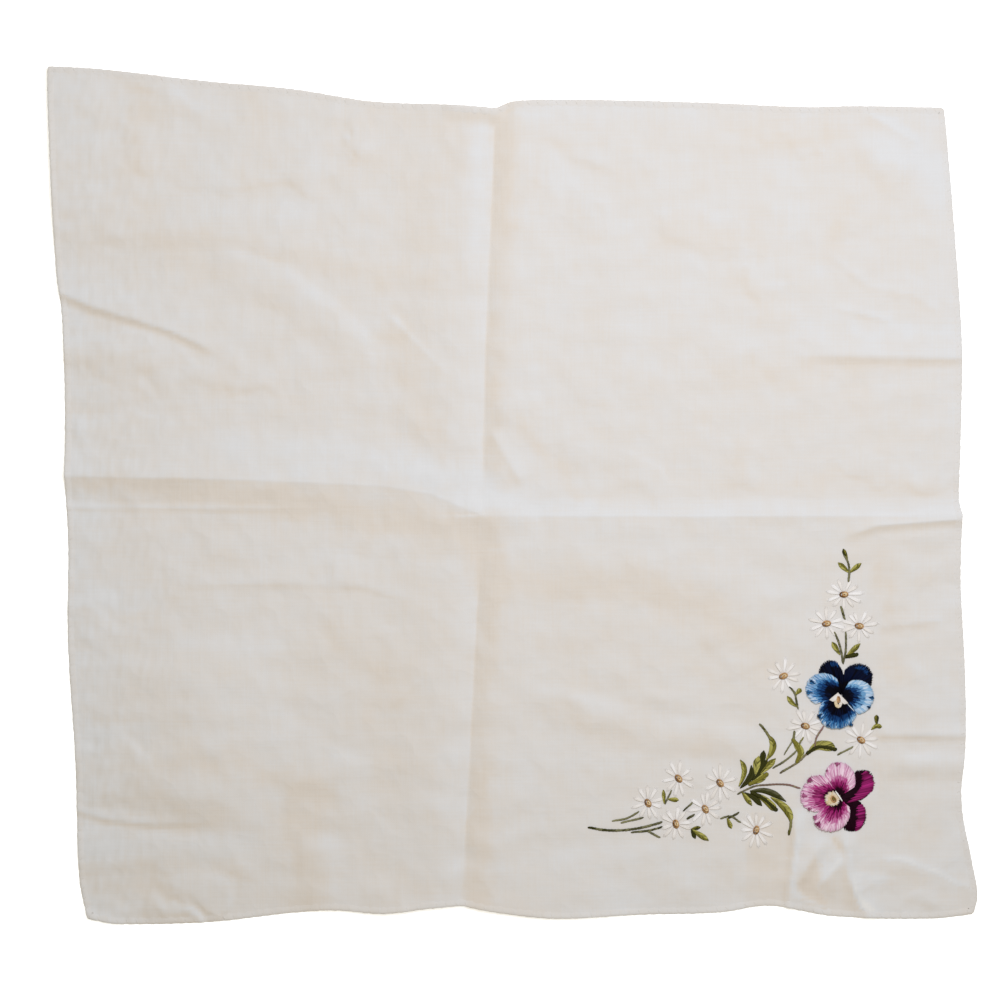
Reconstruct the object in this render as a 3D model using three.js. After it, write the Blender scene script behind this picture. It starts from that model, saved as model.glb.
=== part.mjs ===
// A cotton lawn handkerchief with a rolled hem, unfolded and laid flat. It is one sheet that still stands
// in the ridges and valleys of its quarter folds, with its edges drawn out of square.
// Millimetres, +Z up, +Y the back edge. Where the cloth touches, its underside lies exactly on z = 0.

import * as THREE from "three";

// Driving sizes
const LAWN_THICKNESS = 1; // the thin cloth as a solid sheet
const LAWN_COLOUR = 0xded9d2;
const LAWN_ROUGHNESS = 0.95;
const HALF_WIDTH = 148; // from the crossing of the quarter folds to an edge, on average
const FIRST_LINES = [0, 2, 4.5, 8, 12, 17]; // cell lines kept close beside each quarter fold
const FIELD_CELLS = 16; // cells from the last of those lines to the hem

// The rolled hem, from the cloth out to the edge: `inset` from the edge, and the thickness there
const HEM_SECTION = [
  { inset: 2.2, thickness: LAWN_THICKNESS },
  { inset: 1.1, thickness: 1.7 },
  { inset: 0, thickness: 0.9 },
];

// The corners, the middles of the edges and the crossing of the quarter folds
const centre = [-9.8, -6.6];
const middle = {
  left: [-147.7, 6.4],
  right: [148.6, -6.6],
  back: [-5.3, 127.5],
  front: [-16.5, -135.4],
};
const corner = {
  back: { left: [-153.2, 141.3], right: [142.5, 127.8] },
  front: { left: [-140, -139.8], right: [152.4, -138.2] },
};

// Where a stretch of edge or fold leaves the straight line between its two ends: `at` is the share of its
// length from the inner end, and `off` how far it lies towards +Y, or towards +X where it runs from front
// to back.
const across = {
  fold: {
    left: [
      { at: 0.07, off: 3.3 },
      { at: 0.16, off: 7.2 },
      { at: 0.24, off: 7.1 },
      { at: 0.6, off: 3.7 },
    ],
    right: [{ at: 0.45, off: 0.3 }],
  },
  back: {
    left: [
      { at: 0.11, off: -0.3 },
      { at: 0.28, off: -1.5 },
      { at: 0.45, off: 0.1 },
      { at: 0.65, off: 0.1 },
      { at: 0.88, off: 0.7 },
    ],
    right: [
      { at: 0.04, off: 2.3 },
      { at: 0.16, off: 2.9 },
      { at: 0.45, off: 1.9 },
      { at: 0.69, off: 0.3 },
      { at: 0.8, off: 0.6 },
    ],
  },
  front: {
    left: [
      { at: 0.08, off: -0.5 },
      { at: 0.21, off: -1.8 },
      { at: 0.34, off: -0.1 },
      { at: 0.45, off: -0.4 },
      { at: 0.67, off: -2.5 },
      { at: 0.92, off: -2.1 },
    ],
    right: [
      { at: 0.05, off: -1.7 },
      { at: 0.18, off: -3.8 },
      { at: 0.33, off: -2.2 },
      { at: 0.5, off: -0.9 },
      { at: 0.6, off: 1.6 },
      { at: 0.72, off: -1.4 },
      { at: 0.91, off: -1.8 },
    ],
  },
};
const along = {
  fold: {
    back: [{ at: 0.45, off: -0.6 }],
    front: [{ at: 0.27, off: 0.4 }],
  },
  left: {
    back: [
      { at: 0.1, off: 0.8 },
      { at: 0.38, off: 1.4 },
      { at: 0.52, off: -0.1 },
      { at: 0.9, off: -0.4 },
    ],
    front: [
      { at: 0.15, off: 0.1 },
      { at: 0.38, off: -1.7 },
      { at: 0.65, off: -1.3 },
      { at: 0.91, off: -2 },
    ],
  },
  right: {
    back: [
      { at: 0.04, off: -0.8 },
      { at: 0.17, off: 0.5 },
      { at: 0.4, off: 2.4 },
      { at: 0.6, off: 2.1 },
      { at: 0.88, off: 0.8 },
    ],
    front: [
      { at: 0.16, off: -1.1 },
      { at: 0.4, off: -0.5 },
      { at: 0.57, off: -1 },
      { at: 0.72, off: -2.9 },
      { at: 0.87, off: 0 },
      { at: 0.95, off: 1.5 },
    ],
  },
};

// Valleys, where the fold touches and the cloth stands up beside it. Seen along its line, the cloth to the
// left reaches leftRise at leftNear from the fold and is down again at leftFar, and so to the right.
const valleys = [
  {
    name: "lengthwise quarter fold",
    line: [middle.back, [-8.6, 48], centre, [-13.9, -87.5], middle.front],
    leftRise: 1,
    leftNear: 7,
    leftFar: 26,
    rightRise: 1.2,
    rightNear: 9,
    rightFar: 34,
  },
];

// Ridges. Seen along its line, each reaches `rise` and comes down over `left` and `right`: a pair is how
// far it reaches at the start and at the end of the line. It fades in and out over `fadeIn` and `fadeOut`
// at its ends, and a creased one has a sharp top.
const ridges = [
  {
    name: "crosswise fold, left",
    line: [middle.left, [-90, 5.3], [-43, 3.2], [-27, 0.6], centre],
    rise: 1.7, left: [24, 18], right: [8, 19], creased: true,
  },
  {
    name: "crosswise fold, right",
    line: [centre, [62, -6.9], middle.right],
    rise: 1.25, left: 6.5, right: 28, creased: true,
  },
  {
    name: "crosswise fold, by the crossing",
    line: [[-18, -4], [14, -7]],
    rise: 1.2, left: 12, right: 14, fadeIn: 4, fadeOut: 14,
  },
  {
    name: "facet above the crossing",
    line: [[-8, 23], [4.5, 2]],
    rise: 1.1, left: 8, right: 6, fadeIn: 5, fadeOut: 5, creased: true,
  },
  {
    name: "pleat in the left edge",
    line: [[-150.5, 67.3], [-137, 61.8], [-112, 54], [-95, 46]],
    rise: 1.2, left: 14, right: [3.2, 2.2], fadeOut: 14, creased: true,
  },
  {
    name: "swell under that pleat",
    line: [[-149, 51], [-106, 45]],
    rise: 0.6, left: 12, right: 11, fadeOut: 16,
  },
  {
    name: "long swell, back left",
    line: [[-148, 88], [-100, 87], [-80, 84], [-56, 83]],
    rise: 0.65, left: 15, right: 7.5, fadeIn: 6, fadeOut: 18,
  },
  {
    name: "long diagonal, back left",
    line: [[-100, 81.5], [-75, 70.5], [-60, 59.5], [-40, 40]],
    rise: 0.65, left: 6, right: 12, fadeIn: 10, fadeOut: 20,
  },
  {
    name: "short diagonal, back left",
    line: [[-41.5, 60.5], [-30, 49], [-18.5, 37.5]],
    rise: 0.6, left: 2.6, right: 8, fadeIn: 4, fadeOut: 6, creased: true,
  },
  {
    name: "pleat in the right edge",
    line: [[90, 46.4], [122, 45.7], [148, 45.3]],
    rise: 1, left: 12, right: 3.2, fadeIn: 24, creased: true,
  },
  {
    name: "swell in the back right corner",
    line: [[114, 121], [131, 99]],
    rise: 0.9, left: 14, right: 8, fadeIn: 8, fadeOut: 8,
  },
  {
    name: "swell below the crosswise fold",
    line: [[-8, -21], [40, -22], [66, -28], [92, -44]],
    rise: 0.7, left: 16, right: [16, 12], fadeIn: 8, fadeOut: 22,
  },
  {
    name: "long diagonal, front right",
    line: [[-6, -62], [22, -69], [42, -75.5], [88, -83]],
    rise: 0.45, left: 6, right: 10, fadeIn: 8, fadeOut: 12,
  },
  {
    name: "roll in the right edge",
    line: [[116, -88.4], [150, -89]],
    rise: 0.6, left: 5, right: 6, fadeIn: 16,
  },
  {
    name: "curved crease, front left",
    line: [[-112, -29.5], [-74, -29], [-49, -30], [-33, -34.5], [-20, -45]],
    rise: 0.3, left: 6, right: 2.2, fadeIn: 8, fadeOut: 8, creased: true,
  },
  {
    name: "diagonal, front left",
    line: [[-114, -82], [-80, -88.5], [-46, -100]],
    rise: 0.6, left: 13, right: 8, fadeIn: 12, fadeOut: 14,
  },
  {
    name: "crease in the left edge",
    line: [[-147, -103], [-133, -106.8], [-118, -108.4], [-104, -108], [-92, -106]],
    rise: 0.75, left: 8, right: 2.2, fadeOut: 16, creased: true,
  },
  {
    name: "swell under that crease",
    line: [[-145, -118], [-82, -117]],
    rise: 0.7, left: 10, right: 9, fadeOut: 14,
  },
  {
    name: "drop to the left edge",
    line: [[-106, -42], [-101, -75], [-108, -114]],
    rise: 2.3, left: 34, right: 42, fadeIn: 22, fadeOut: 16,
  },
  {
    name: "lift of the back left corner",
    line: [[-168, 160], [-160, 70]],
    rise: 2.4, left: 62, right: 20, fadeOut: 30,
  },
  {
    name: "swell at the front edge",
    line: [[-64, -110], [-62, -137]],
    rise: 0.8, left: 11, right: 10, fadeIn: 8,
  },
  {
    name: "first ridge to the front edge",
    line: [[94.2, -102], [93.3, -115.8], [92.4, -125.4], [90.8, -138]],
    rise: 1.1, left: 5, right: 3, fadeIn: 8, creased: true,
  },
  {
    name: "ridge over the first wedge",
    line: [[93.6, -131], [96.9, -122.7], [99.8, -118.6], [104.6, -112]],
    rise: 1.4, left: 8, right: 6, fadeIn: 9, fadeOut: 7, creased: true,
  },
  {
    name: "ridge over the second wedge",
    line: [[98.6, -131.4], [103.9, -126.3], [106.8, -123.2], [112, -117.6]],
    rise: 1.4, left: 7, right: 8, fadeIn: 8, fadeOut: 6, creased: true,
  },
  {
    name: "second ridge to the front edge",
    line: [[107.4, -109], [111, -117], [111.4, -124.5], [113.2, -132], [117.6, -139]],
    rise: 1.2, left: 7, right: 5, fadeIn: 8, creased: true,
  },
  {
    name: "lift of the front hem",
    line: [[-80, -147], [-30, -143], [50, -146]],
    rise: 1.2, left: 32, right: 20, fadeIn: 30, fadeOut: 30,
  },
  {
    name: "lift of the back hem",
    line: [[-26, 129], [-7, 127.5]],
    rise: 1.8, left: 8, right: 7, fadeIn: 8,
  },
];
const RIDGE_SHARPNESS = 1.5; // 1 would be a tent with straight sides

const mix = (a, b, share) => a + (b - a) * share;
const ease = (share) => {
  const t = THREE.MathUtils.clamp(share, 0, 1);
  return t * t * (3 - 2 * t);
};

// A smooth run through rows of {at, off} that starts and ends at 0
function offAt(rows, at) {
  const knots = [{ at: 0, off: 0 }, ...rows, { at: 1, off: 0 }];
  const last = knots.length - 1;
  const slope = (k) => {
    const before = knots[Math.max(k - 1, 0)];
    const after = knots[Math.min(k + 1, last)];
    return (after.off - before.off) / (after.at - before.at);
  };
  let k = 0;
  while (k < last - 1 && at > knots[k + 1].at) k += 1;
  const span = knots[k + 1].at - knots[k].at;
  const t = (at - knots[k].at) / span;
  const start = (1 + 2 * t) * (1 - t) ** 2 * knots[k].off + t * (1 - t) ** 2 * span * slope(k);
  const end = t * t * (3 - 2 * t) * knots[k + 1].off + t * t * (t - 1) * span * slope(k + 1);
  return start + end;
}

function acrossAt(rows, from, to, at) {
  return [mix(from[0], to[0], at), mix(from[1], to[1], at) + offAt(rows, at)];
}

function alongAt(rows, from, to, at) {
  return [mix(from[0], to[0], at) + offAt(rows, at), mix(from[1], to[1], at)];
}

// A point of one quarter of the cloth, from its four sides: s is the share of the way out to its left or
// right edge, and t the share out to its back or front edge.
function quarterPoint(side, end, s, t) {
  const fold = acrossAt(across.fold[side], centre, middle[side], s);
  const edge = acrossAt(across[end][side], middle[end], corner[end][side], s);
  const inner = alongAt(along.fold[end], centre, middle[end], t);
  const outer = alongAt(along[side][end], middle[side], corner[end][side], t);
  return [0, 1].map((axis) => {
    const ruled = mix(fold[axis], edge[axis], t) + mix(inner[axis], outer[axis], s);
    const foldEnds = mix(centre[axis], middle[side][axis], s);
    const edgeEnds = mix(middle[end][axis], corner[end][side][axis], s);
    return ruled - mix(foldEnds, edgeEnds, t);
  });
}

// How far a point lies to the left (negative) or right of a line of points, and how far along it
function beside(line, x, y) {
  let best = { distance: Infinity };
  let passed = 0;
  for (let k = 0; k < line.length - 1; k += 1) {
    const [ax, ay] = line[k];
    const dx = line[k + 1][0] - ax;
    const dy = line[k + 1][1] - ay;
    const length = Math.hypot(dx, dy);
    const share = THREE.MathUtils.clamp(((x - ax) * dx + (y - ay) * dy) / length ** 2, 0, 1);
    const distance = Math.hypot(x - ax - dx * share, y - ay - dy * share);
    if (distance < best.distance) {
      const toRight = dy * (x - ax) - dx * (y - ay) > 0;
      best = { distance, toRight, walked: passed + share * length };
    }
    passed += length;
  }
  return { ...best, length: passed };
}

function ridgeHeight(ridge, x, y) {
  const { distance, toRight, walked, length } = beside(ridge.line, x, y);
  const side = toRight ? ridge.right : ridge.left;
  const [atStart, atEnd] = Array.isArray(side) ? side : [side, side];
  const reach = distance / mix(atStart, atEnd, walked / length);
  if (reach >= 1) return 0;
  const section = ridge.creased ? (1 - reach) ** RIDGE_SHARPNESS : (1 - reach ** 2) ** 2;
  const fadeIn = ridge.fadeIn ? ease(walked / ridge.fadeIn) : 1;
  const fadeOut = ridge.fadeOut ? ease((length - walked) / ridge.fadeOut) : 1;
  return ridge.rise * section * fadeIn * fadeOut;
}

function valleyHeight(valley, x, y) {
  const { distance, toRight } = beside(valley.line, x, y);
  const hand = toRight ? "right" : "left";
  const rise = valley[hand + "Rise"];
  const near = valley[hand + "Near"];
  const far = valley[hand + "Far"];
  if (distance < near) return rise * (1 - (1 - distance / near) ** 2);
  return rise * (1 - ease((distance - near) / (far - near)));
}

// The underside's height: folds that cross add up as the sides of a right angle do, not in full
function undersideHeight(x, y) {
  const heights = [
    ...ridges.map((ridge) => ridgeHeight(ridge, x, y)),
    ...valleys.map((valley) => valleyHeight(valley, x, y)),
  ];
  return Math.hypot(...heights);
}

// Shares of the way from a quarter fold to an edge at which the sheet's cell lines lie
function cellLines() {
  const inner = FIRST_LINES.map((distance) => distance / HALF_WIDTH);
  const hem = HEM_SECTION.map(({ inset }) => 1 - inset / HALF_WIDTH);
  const start = inner.at(-1);
  const field = [];
  for (let k = 1; k < FIELD_CELLS; k += 1) field.push(mix(start, hem[0], k / FIELD_CELLS));
  return [...inner, ...field, ...hem];
}

function handkerchiefGeometry() {
  const lines = cellLines();
  const most = lines.length - 1; // cell lines run from -most to most both ways
  const firstHemLine = most - HEM_SECTION.length + 1;
  const rows = 2 * most + 1;
  const sheetPoints = rows * rows;
  const positions = [];
  const top = [];
  for (let j = -most; j <= most; j += 1) {
    for (let i = -most; i <= most; i += 1) {
      const side = i < 0 ? "left" : "right";
      const end = j < 0 ? "front" : "back";
      const [x, y] = quarterPoint(side, end, lines[Math.abs(i)], lines[Math.abs(j)]);
      const z = undersideHeight(x, y);
      const hemLine = Math.max(Math.abs(i), Math.abs(j), firstHemLine) - firstHemLine;
      positions.push(x, y, z);
      top.push(x, y, z + HEM_SECTION[hemLine].thickness);
    }
  }
  positions.push(...top);

  const point = (i, j) => j * rows + i;
  const faces = [];
  for (let j = 0; j < rows - 1; j += 1) {
    for (let i = 0; i < rows - 1; i += 1) {
      const a = point(i, j);
      const b = point(i + 1, j);
      const c = point(i + 1, j + 1);
      const d = point(i, j + 1);
      faces.push(a, c, b, a, d, c); // underside
      const up = [a, b, c, a, c, d].map((index) => index + sheetPoints);
      faces.push(...up);
    }
  }
  const wall = (from, to) => {
    faces.push(from, to, to + sheetPoints, from, to + sheetPoints, from + sheetPoints);
  };
  for (let k = 0; k < rows - 1; k += 1) {
    wall(point(k, 0), point(k + 1, 0));
    wall(point(rows - 1, k), point(rows - 1, k + 1));
    wall(point(k + 1, rows - 1), point(k, rows - 1));
    wall(point(0, k + 1), point(0, k));
  }

  const geometry = new THREE.BufferGeometry();
  geometry.setAttribute("position", new THREE.Float32BufferAttribute(positions, 3));
  geometry.setIndex(faces);
  geometry.computeBoundingBox();
  const { min, max } = geometry.boundingBox;
  geometry.translate(-(min.x + max.x) / 2, -(min.y + max.y) / 2, -min.z);
  geometry.computeVertexNormals();
  return geometry;
}

const lawn = new THREE.MeshStandardMaterial({
  color: LAWN_COLOUR,
  roughness: LAWN_ROUGHNESS,
  metalness: 0,
});

const handkerchief = new THREE.Mesh(handkerchiefGeometry(), lawn);
handkerchief.name = "handkerchief";

const group = new THREE.Group();
group.add(handkerchief);

export default group;
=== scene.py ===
"""A cotton lawn handkerchief with a rolled hem and a flower spray embroidered in one corner, laid flat.

The tables are in millimetres, +X to the right edge and +Y to the back edge; meshes are made in metres.
"""

import math
from collections import namedtuple

import bpy
import numpy as np
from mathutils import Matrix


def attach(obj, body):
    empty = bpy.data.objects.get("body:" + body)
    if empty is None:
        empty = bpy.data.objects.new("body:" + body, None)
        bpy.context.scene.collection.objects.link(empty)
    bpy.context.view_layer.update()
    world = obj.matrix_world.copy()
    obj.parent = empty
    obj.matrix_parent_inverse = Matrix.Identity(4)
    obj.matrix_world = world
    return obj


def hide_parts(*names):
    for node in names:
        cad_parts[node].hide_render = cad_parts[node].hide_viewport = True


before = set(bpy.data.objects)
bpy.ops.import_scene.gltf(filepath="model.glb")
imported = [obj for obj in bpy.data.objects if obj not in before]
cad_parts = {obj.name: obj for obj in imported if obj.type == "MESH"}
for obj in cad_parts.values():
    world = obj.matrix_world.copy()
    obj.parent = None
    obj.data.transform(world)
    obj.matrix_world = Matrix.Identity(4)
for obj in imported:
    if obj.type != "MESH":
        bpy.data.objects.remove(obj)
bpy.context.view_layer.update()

MM = 0.001

# ---------------------------------------------------------------- the cloth's outline, folds and relief

LAWN_THICKNESS = 0.35
HALF_WIDTH = 148.0  # from the crossing of the quarter folds to an edge, on average

# Where the quarter folds cross, where they meet the edges, and the corners
CENTRE = (-9.8, -6.6)
MIDDLE = {
    "left": (-147.7, 6.4),
    "right": (148.6, -6.6),
    "back": (-5.3, 127.5),
    "front": (-16.5, -135.4),
}
CORNER = {
    ("back", "left"): (-153.2, 141.3),
    ("back", "right"): (142.5, 127.8),
    ("front", "left"): (-140.0, -139.8),
    ("front", "right"): (152.4, -138.2),
}

# Where a stretch of edge or fold leaves the straight line between its two ends: the share of its length from
# the inner end, and how far it lies off towards +Y, or towards +X where it runs from front to back.
ACROSS = {
    ("fold", "left"): [(0.07, 3.3), (0.16, 7.2), (0.24, 7.1), (0.6, 3.7)],
    ("fold", "right"): [(0.45, 0.3)],
    ("back", "left"): [(0.11, -0.3), (0.28, -1.5), (0.45, 0.1), (0.65, 0.1), (0.88, 0.7)],
    ("back", "right"): [(0.04, 2.3), (0.16, 2.9), (0.45, 1.9), (0.69, 0.3), (0.8, 0.6)],
    ("front", "left"): [(0.08, -0.5), (0.21, -1.8), (0.34, -0.1), (0.45, -0.4), (0.67, -2.5), (0.92, -2.1)],
    ("front", "right"): [
        (0.05, -1.7), (0.18, -3.8), (0.33, -2.2), (0.5, -0.9), (0.6, 1.6), (0.72, -1.4), (0.91, -1.8),
    ],
}
ALONG = {
    ("fold", "back"): [(0.45, -0.6)],
    ("fold", "front"): [(0.27, 0.4)],
    ("left", "back"): [(0.1, 0.8), (0.38, 1.4), (0.52, -0.1), (0.9, -0.4)],
    ("left", "front"): [(0.15, 0.1), (0.38, -1.7), (0.65, -1.3), (0.91, -2.0)],
    ("right", "back"): [(0.04, -0.8), (0.17, 0.5), (0.4, 2.4), (0.6, 2.1), (0.88, 0.8)],
    ("right", "front"): [(0.16, -1.1), (0.4, -0.5), (0.57, -1.0), (0.72, -2.9), (0.87, 0.0), (0.95, 1.5)],
}

# A valley touches the surface along its line, and the cloth stands up beside it: seen along the line, it has
# risen by left_rise at left_near and is down again at left_far, and so to the right.
Valley = namedtuple("Valley", "line left_rise left_near left_far right_rise right_near right_far")
VALLEYS = [
    Valley([MIDDLE["back"], (-8.6, 48), CENTRE, (-13.9, -87.5), MIDDLE["front"]], 1.0, 7, 26, 1.2, 9, 34),
]

# A ridge: down to nothing over left and right of its line, faded in and out at its ends, and sharp along its
# top where it is creased. A pair for left or right is its reach at the start and at the end of the line.
Fold = namedtuple("Fold", "line rise left right fade_in fade_out creased", defaults=(0, 0, False))
QUARTER_FOLDS = {
    "crosswise fold, left": Fold(
        [MIDDLE["left"], (-90, 5.3), (-43, 3.2), (-27, 0.6), CENTRE], 1.7, (24, 18), (8, 19), creased=True
    ),
    "crosswise fold, right": Fold([CENTRE, (62, -6.9), MIDDLE["right"]], 1.25, 6.5, 28, creased=True),
    "crosswise fold, by the crossing": Fold([(-18, -4), (14, -7)], 1.2, 12, 14, 4, 14),
    "facet above the crossing": Fold([(-8, 23), (4.5, 2)], 1.1, 8, 6, 5, 5, True),
}
MAIN_FOLDS = {
    "pleat in the left edge": Fold(
        [(-150.5, 67.3), (-137, 61.8), (-112, 54), (-95, 46)], 1.2, 14, (3.2, 2.2), 0, 14, True
    ),
    "swell under that pleat": Fold([(-149, 51), (-106, 45)], 0.6, 12, 11, 0, 16),
    "long swell, back left": Fold([(-148, 88), (-100, 87), (-80, 84), (-56, 83)], 0.65, 15, 7.5, 6, 18),
    "long diagonal, back left": Fold(
        [(-100, 81.5), (-75, 70.5), (-60, 59.5), (-40, 40)], 0.65, 6, 12, 10, 20
    ),
    "short diagonal, back left": Fold([(-41.5, 60.5), (-30, 49), (-18.5, 37.5)], 0.6, 2.6, 8, 4, 6, True),
    "pleat in the right edge": Fold([(90, 46.4), (122, 45.7), (148, 45.3)], 1.0, 12, 3.2, 24, 0, True),
    "swell in the back right corner": Fold([(114, 121), (131, 99)], 0.9, 14, 8, 8, 8),
    "swell below the crosswise fold": Fold(
        [(-8, -21), (40, -22), (66, -28), (92, -44)], 0.7, 16, (16, 12), 8, 22
    ),
    "long diagonal, front right": Fold([(-6, -62), (22, -69), (42, -75.5), (88, -83)], 0.45, 6, 10, 8, 12),
    "roll in the right edge": Fold([(116, -88.4), (150, -89)], 0.6, 5, 6, 16),
    "curved crease, front left": Fold(
        [(-112, -29.5), (-74, -29), (-49, -30), (-33, -34.5), (-20, -45)], 0.3, 6, 2.2, 8, 8, True
    ),
    "diagonal, front left": Fold([(-114, -82), (-80, -88.5), (-46, -100)], 0.6, 13, 8, 12, 14),
    "crease in the left edge": Fold(
        [(-147, -103), (-133, -106.8), (-118, -108.4), (-104, -108), (-92, -106)], 0.75, 8, 2.2, 0, 16, True
    ),
    "swell under that crease": Fold([(-145, -118), (-82, -117)], 0.7, 10, 9, 0, 14),
    "drop to the left edge": Fold([(-106, -42), (-101, -75), (-108, -114)], 2.3, 34, 42, 22, 16),
    "lift of the back left corner": Fold([(-168, 160), (-160, 70)], 2.4, 62, 20, 0, 30),
    "swell at the front edge": Fold([(-64, -110), (-62, -137)], 0.8, 11, 10, 8),
    "first ridge to the front edge": Fold(
        [(94.2, -102), (93.3, -115.8), (92.4, -125.4), (90.8, -138)], 1.1, 5, 3, 8, 0, True
    ),
    "ridge over the first wedge": Fold(
        [(93.6, -131), (96.9, -122.7), (99.8, -118.6), (104.6, -112)], 1.4, 8, 6, 9, 7, True
    ),
    "ridge over the second wedge": Fold(
        [(98.6, -131.4), (103.9, -126.3), (106.8, -123.2), (112, -117.6)], 1.4, 7, 8, 8, 6, True
    ),
    "second ridge to the front edge": Fold(
        [(107.4, -109), (111, -117), (111.4, -124.5), (113.2, -132), (117.6, -139)], 1.2, 7, 5, 8, 0, True
    ),
    "lift of the front hem": Fold([(-80, -147), (-30, -143), (50, -146)], 1.2, 32, 20, 30, 30),
    "lift of the back hem": Fold([(-26, 129), (-7, 127.5)], 1.8, 8, 7, 8),
}
RIDGE_SHARPNESS = 1.5  # 1 would be a tent with straight sides

# The finer creases that lie on and between those folds, quarter by quarter
CREASES = {
    "back left": [
        Fold([(-115, 133.5), (-96, 124)], 0.37, 6.2, 8.1, 0, 8),
        Fold([(-127, 130), (-124.5, 115), (-117.5, 107)], 0.37, 11.2, 6.1, 8, 4),
        Fold([(-114, 103.5), (-85, 104.3), (-54, 100.8)], 0.31, 8.8, 4.3, 8, 11),
        Fold([(-68, 123), (-63, 101)], 0.37, 8.8, 10.8, 7, 7),
        Fold([(-54, 128), (-48.5, 112)], 0.37, 7.5, 4.1, 4, 6),
        Fold([(-57, 115.8), (-42, 114.8)], 0.31, 4.5, 6.8, 4, 4),
        Fold([(-62, 82), (-50, 70)], 0.25, 8.8, 6.8, 6, 7),
        Fold([(-148, 45.5), (-120, 41.3), (-98, 38.8), (-70, 34.5)], 0.43, 11.2, 6.8, 0, 17),
        Fold([(-62, 58), (-46, 38)], 0.25, 5, 8.1, 6, 8),
        Fold([(-145, 24), (-96, 22)], 0.25, 6.2, 6.8, 3, 17),
        Fold([(-147, -3.9), (-110, -4.1), (-56, -4.6)], 0.3, 1.8, 1.8, 0, 34, True),
        Fold([(-36, 30), (-28, 17)], 0.25, 7.5, 6.8, 6, 6),
    ],
    "back right": [
        Fold([(9, 119), (28, 111), (54, 106.5)], 0.31, 8.8, 5.4, 7, 8),
        Fold([(6, 107), (24, 97), (32, 89)], 0.37, 7.5, 9.5, 7, 7),
        Fold([(46, 91), (80, 86.5)], 0.31, 7.5, 9.5, 8, 6),
        Fold([(74.5, 74.5), (88, 63)], 0.34, 7.5, 5.4, 4, 6),
        Fold([(81, 117.5), (104, 116.8)], 0.31, 6.2, 5.4, 6, 6),
        Fold([(94, 129), (97, 118)], 0.31, 5, 6.1, 0, 6),
        Fold([(116, 127), (135, 116)], 0.5, 3, 4, 3, 3, True),
        Fold([(111, 96), (112, 82)], 0.31, 7.5, 8.1, 6, 6),
        Fold([(102, 82), (118, 69), (132, 66.5), (144, 59)], 0.22, 3, 2.8, 8, 6, True),
        Fold([(106, 62), (126, 57.5)], 0.3, 3, 2.2, 3, 3, True),
        Fold([(60, 46), (98, 44.5)], 0.37, 8.8, 10.8, 14, 11),
        Fold([(-4, 33), (12, 24), (30, 7)], 0.37, 11.2, 9.5, 8, 13),
        Fold([(33, 10), (53, 0)], 0.37, 7.5, 5.4, 7, 6),
        Fold([(81, 21), (75, 2)], 0.31, 7.5, 6.8, 7, 4),
        Fold([(108, 13), (122, 5), (147, 3)], 0.28, 7.5, 4.1, 6, 0),
        Fold([(20, 38), (38, 31)], 0.22, 6.2, 5.4, 6, 6),
    ],
    "front left": [
        Fold([(-150, -38.5), (-127, -41)], 0.56, 7.5, 9.5, 0, 8),
        Fold([(-137, -77), (-134.5, -104)], 0.43, 8.8, 9.5, 8, 6),
        Fold([(-130.5, -75), (-120.5, -97)], 0.37, 5, 8.1, 6, 6),
        Fold([(-103, -14), (-92, -19)], 0.22, 5, 5.4, 4, 4),
        Fold([(-60, -22), (-48, -30)], 0.25, 6.2, 4.7, 4, 4),
        Fold([(-108, -24), (-101, -24.5)], 0.19, 5, 5.4, 3, 3),
        Fold([(-64, -42), (-44, -48), (-38, -62)], 0.25, 10, 10.8, 7, 8),
        Fold([(-88, -47), (-62, -50)], 0.22, 7.5, 8.1, 7, 7),
        Fold([(-40, -70), (-30, -60)], 0.25, 2.5, 2.5, 3, 3, True),
        Fold([(-118, -124.5), (-105, -129), (-93, -136)], 0.6, 9, 8, 6, 4),
        Fold([(-120, -131.5), (-115.5, -137), (-106, -142)], 0.62, 5.2, 5.4, 6, 0),
        Fold([(-142.5, -135), (-139, -139.5), (-129, -143)], 0.5, 5, 5.4, 3, 0),
        Fold([(-95, -121), (-84, -126)], 0.31, 6.2, 6.8, 4, 4),
        Fold([(-50, -128), (-38, -136)], 0.31, 6.2, 6.8, 6, 0),
    ],
    "front right": [
        Fold([(107, -14.8), (120, -10), (148, -7.9)], 0.8, 5, 2.8, 12, 0, True),
        Fold([(120, -43.5), (143, -41)], 0.4, 4, 2.5, 3, 3, True),
        Fold([(128, -16), (127.5, -60)], 0.31, 7.5, 6.1, 8, 11),
        Fold([(131, -50), (134.5, -77)], 0.28, 6.2, 6.8, 7, 7),
        Fold([(118, -78.8), (150, -79.2)], 0.6, 6, 2.5, 5, 0, True),
        Fold([(30, -59), (54, -70)], 0.25, 6.2, 6.8, 7, 7),
        Fold([(16, -67.5), (30, -76)], 0.25, 5, 5.4, 6, 6),
        Fold([(62, -47), (84, -58)], 0.25, 7.5, 8.1, 7, 7),
        Fold([(102, -111.5), (105.5, -115.4), (109.6, -119.8)], 0.3, 2.4, 4, 4, 4, True),
        Fold([(91, -130), (97, -134.6), (104, -137.6)], 0.3, 2.6, 3, 5, 5, True),
        Fold([(70, -112), (69, -126)], 0.2, 7, 7, 6, 6),
        Fold([(120, -120), (128, -119.8), (135, -122.4), (150, -129)], 0.3, 1.8, 6, 4, 0, True),
        Fold([(113, -124.5), (120, -126), (128, -127.5)], 0.25, 2, 4, 3, 4, True),
        Fold([(112, -132), (121, -127)], 0.4, 3, 4, 3, 3, True),
        Fold([(128, -131), (142, -134)], 0.25, 4, 5, 4, 4),
        Fold([(54, -129), (59, -135)], 0.25, 4, 4, 3, 3),
    ],
}

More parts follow.
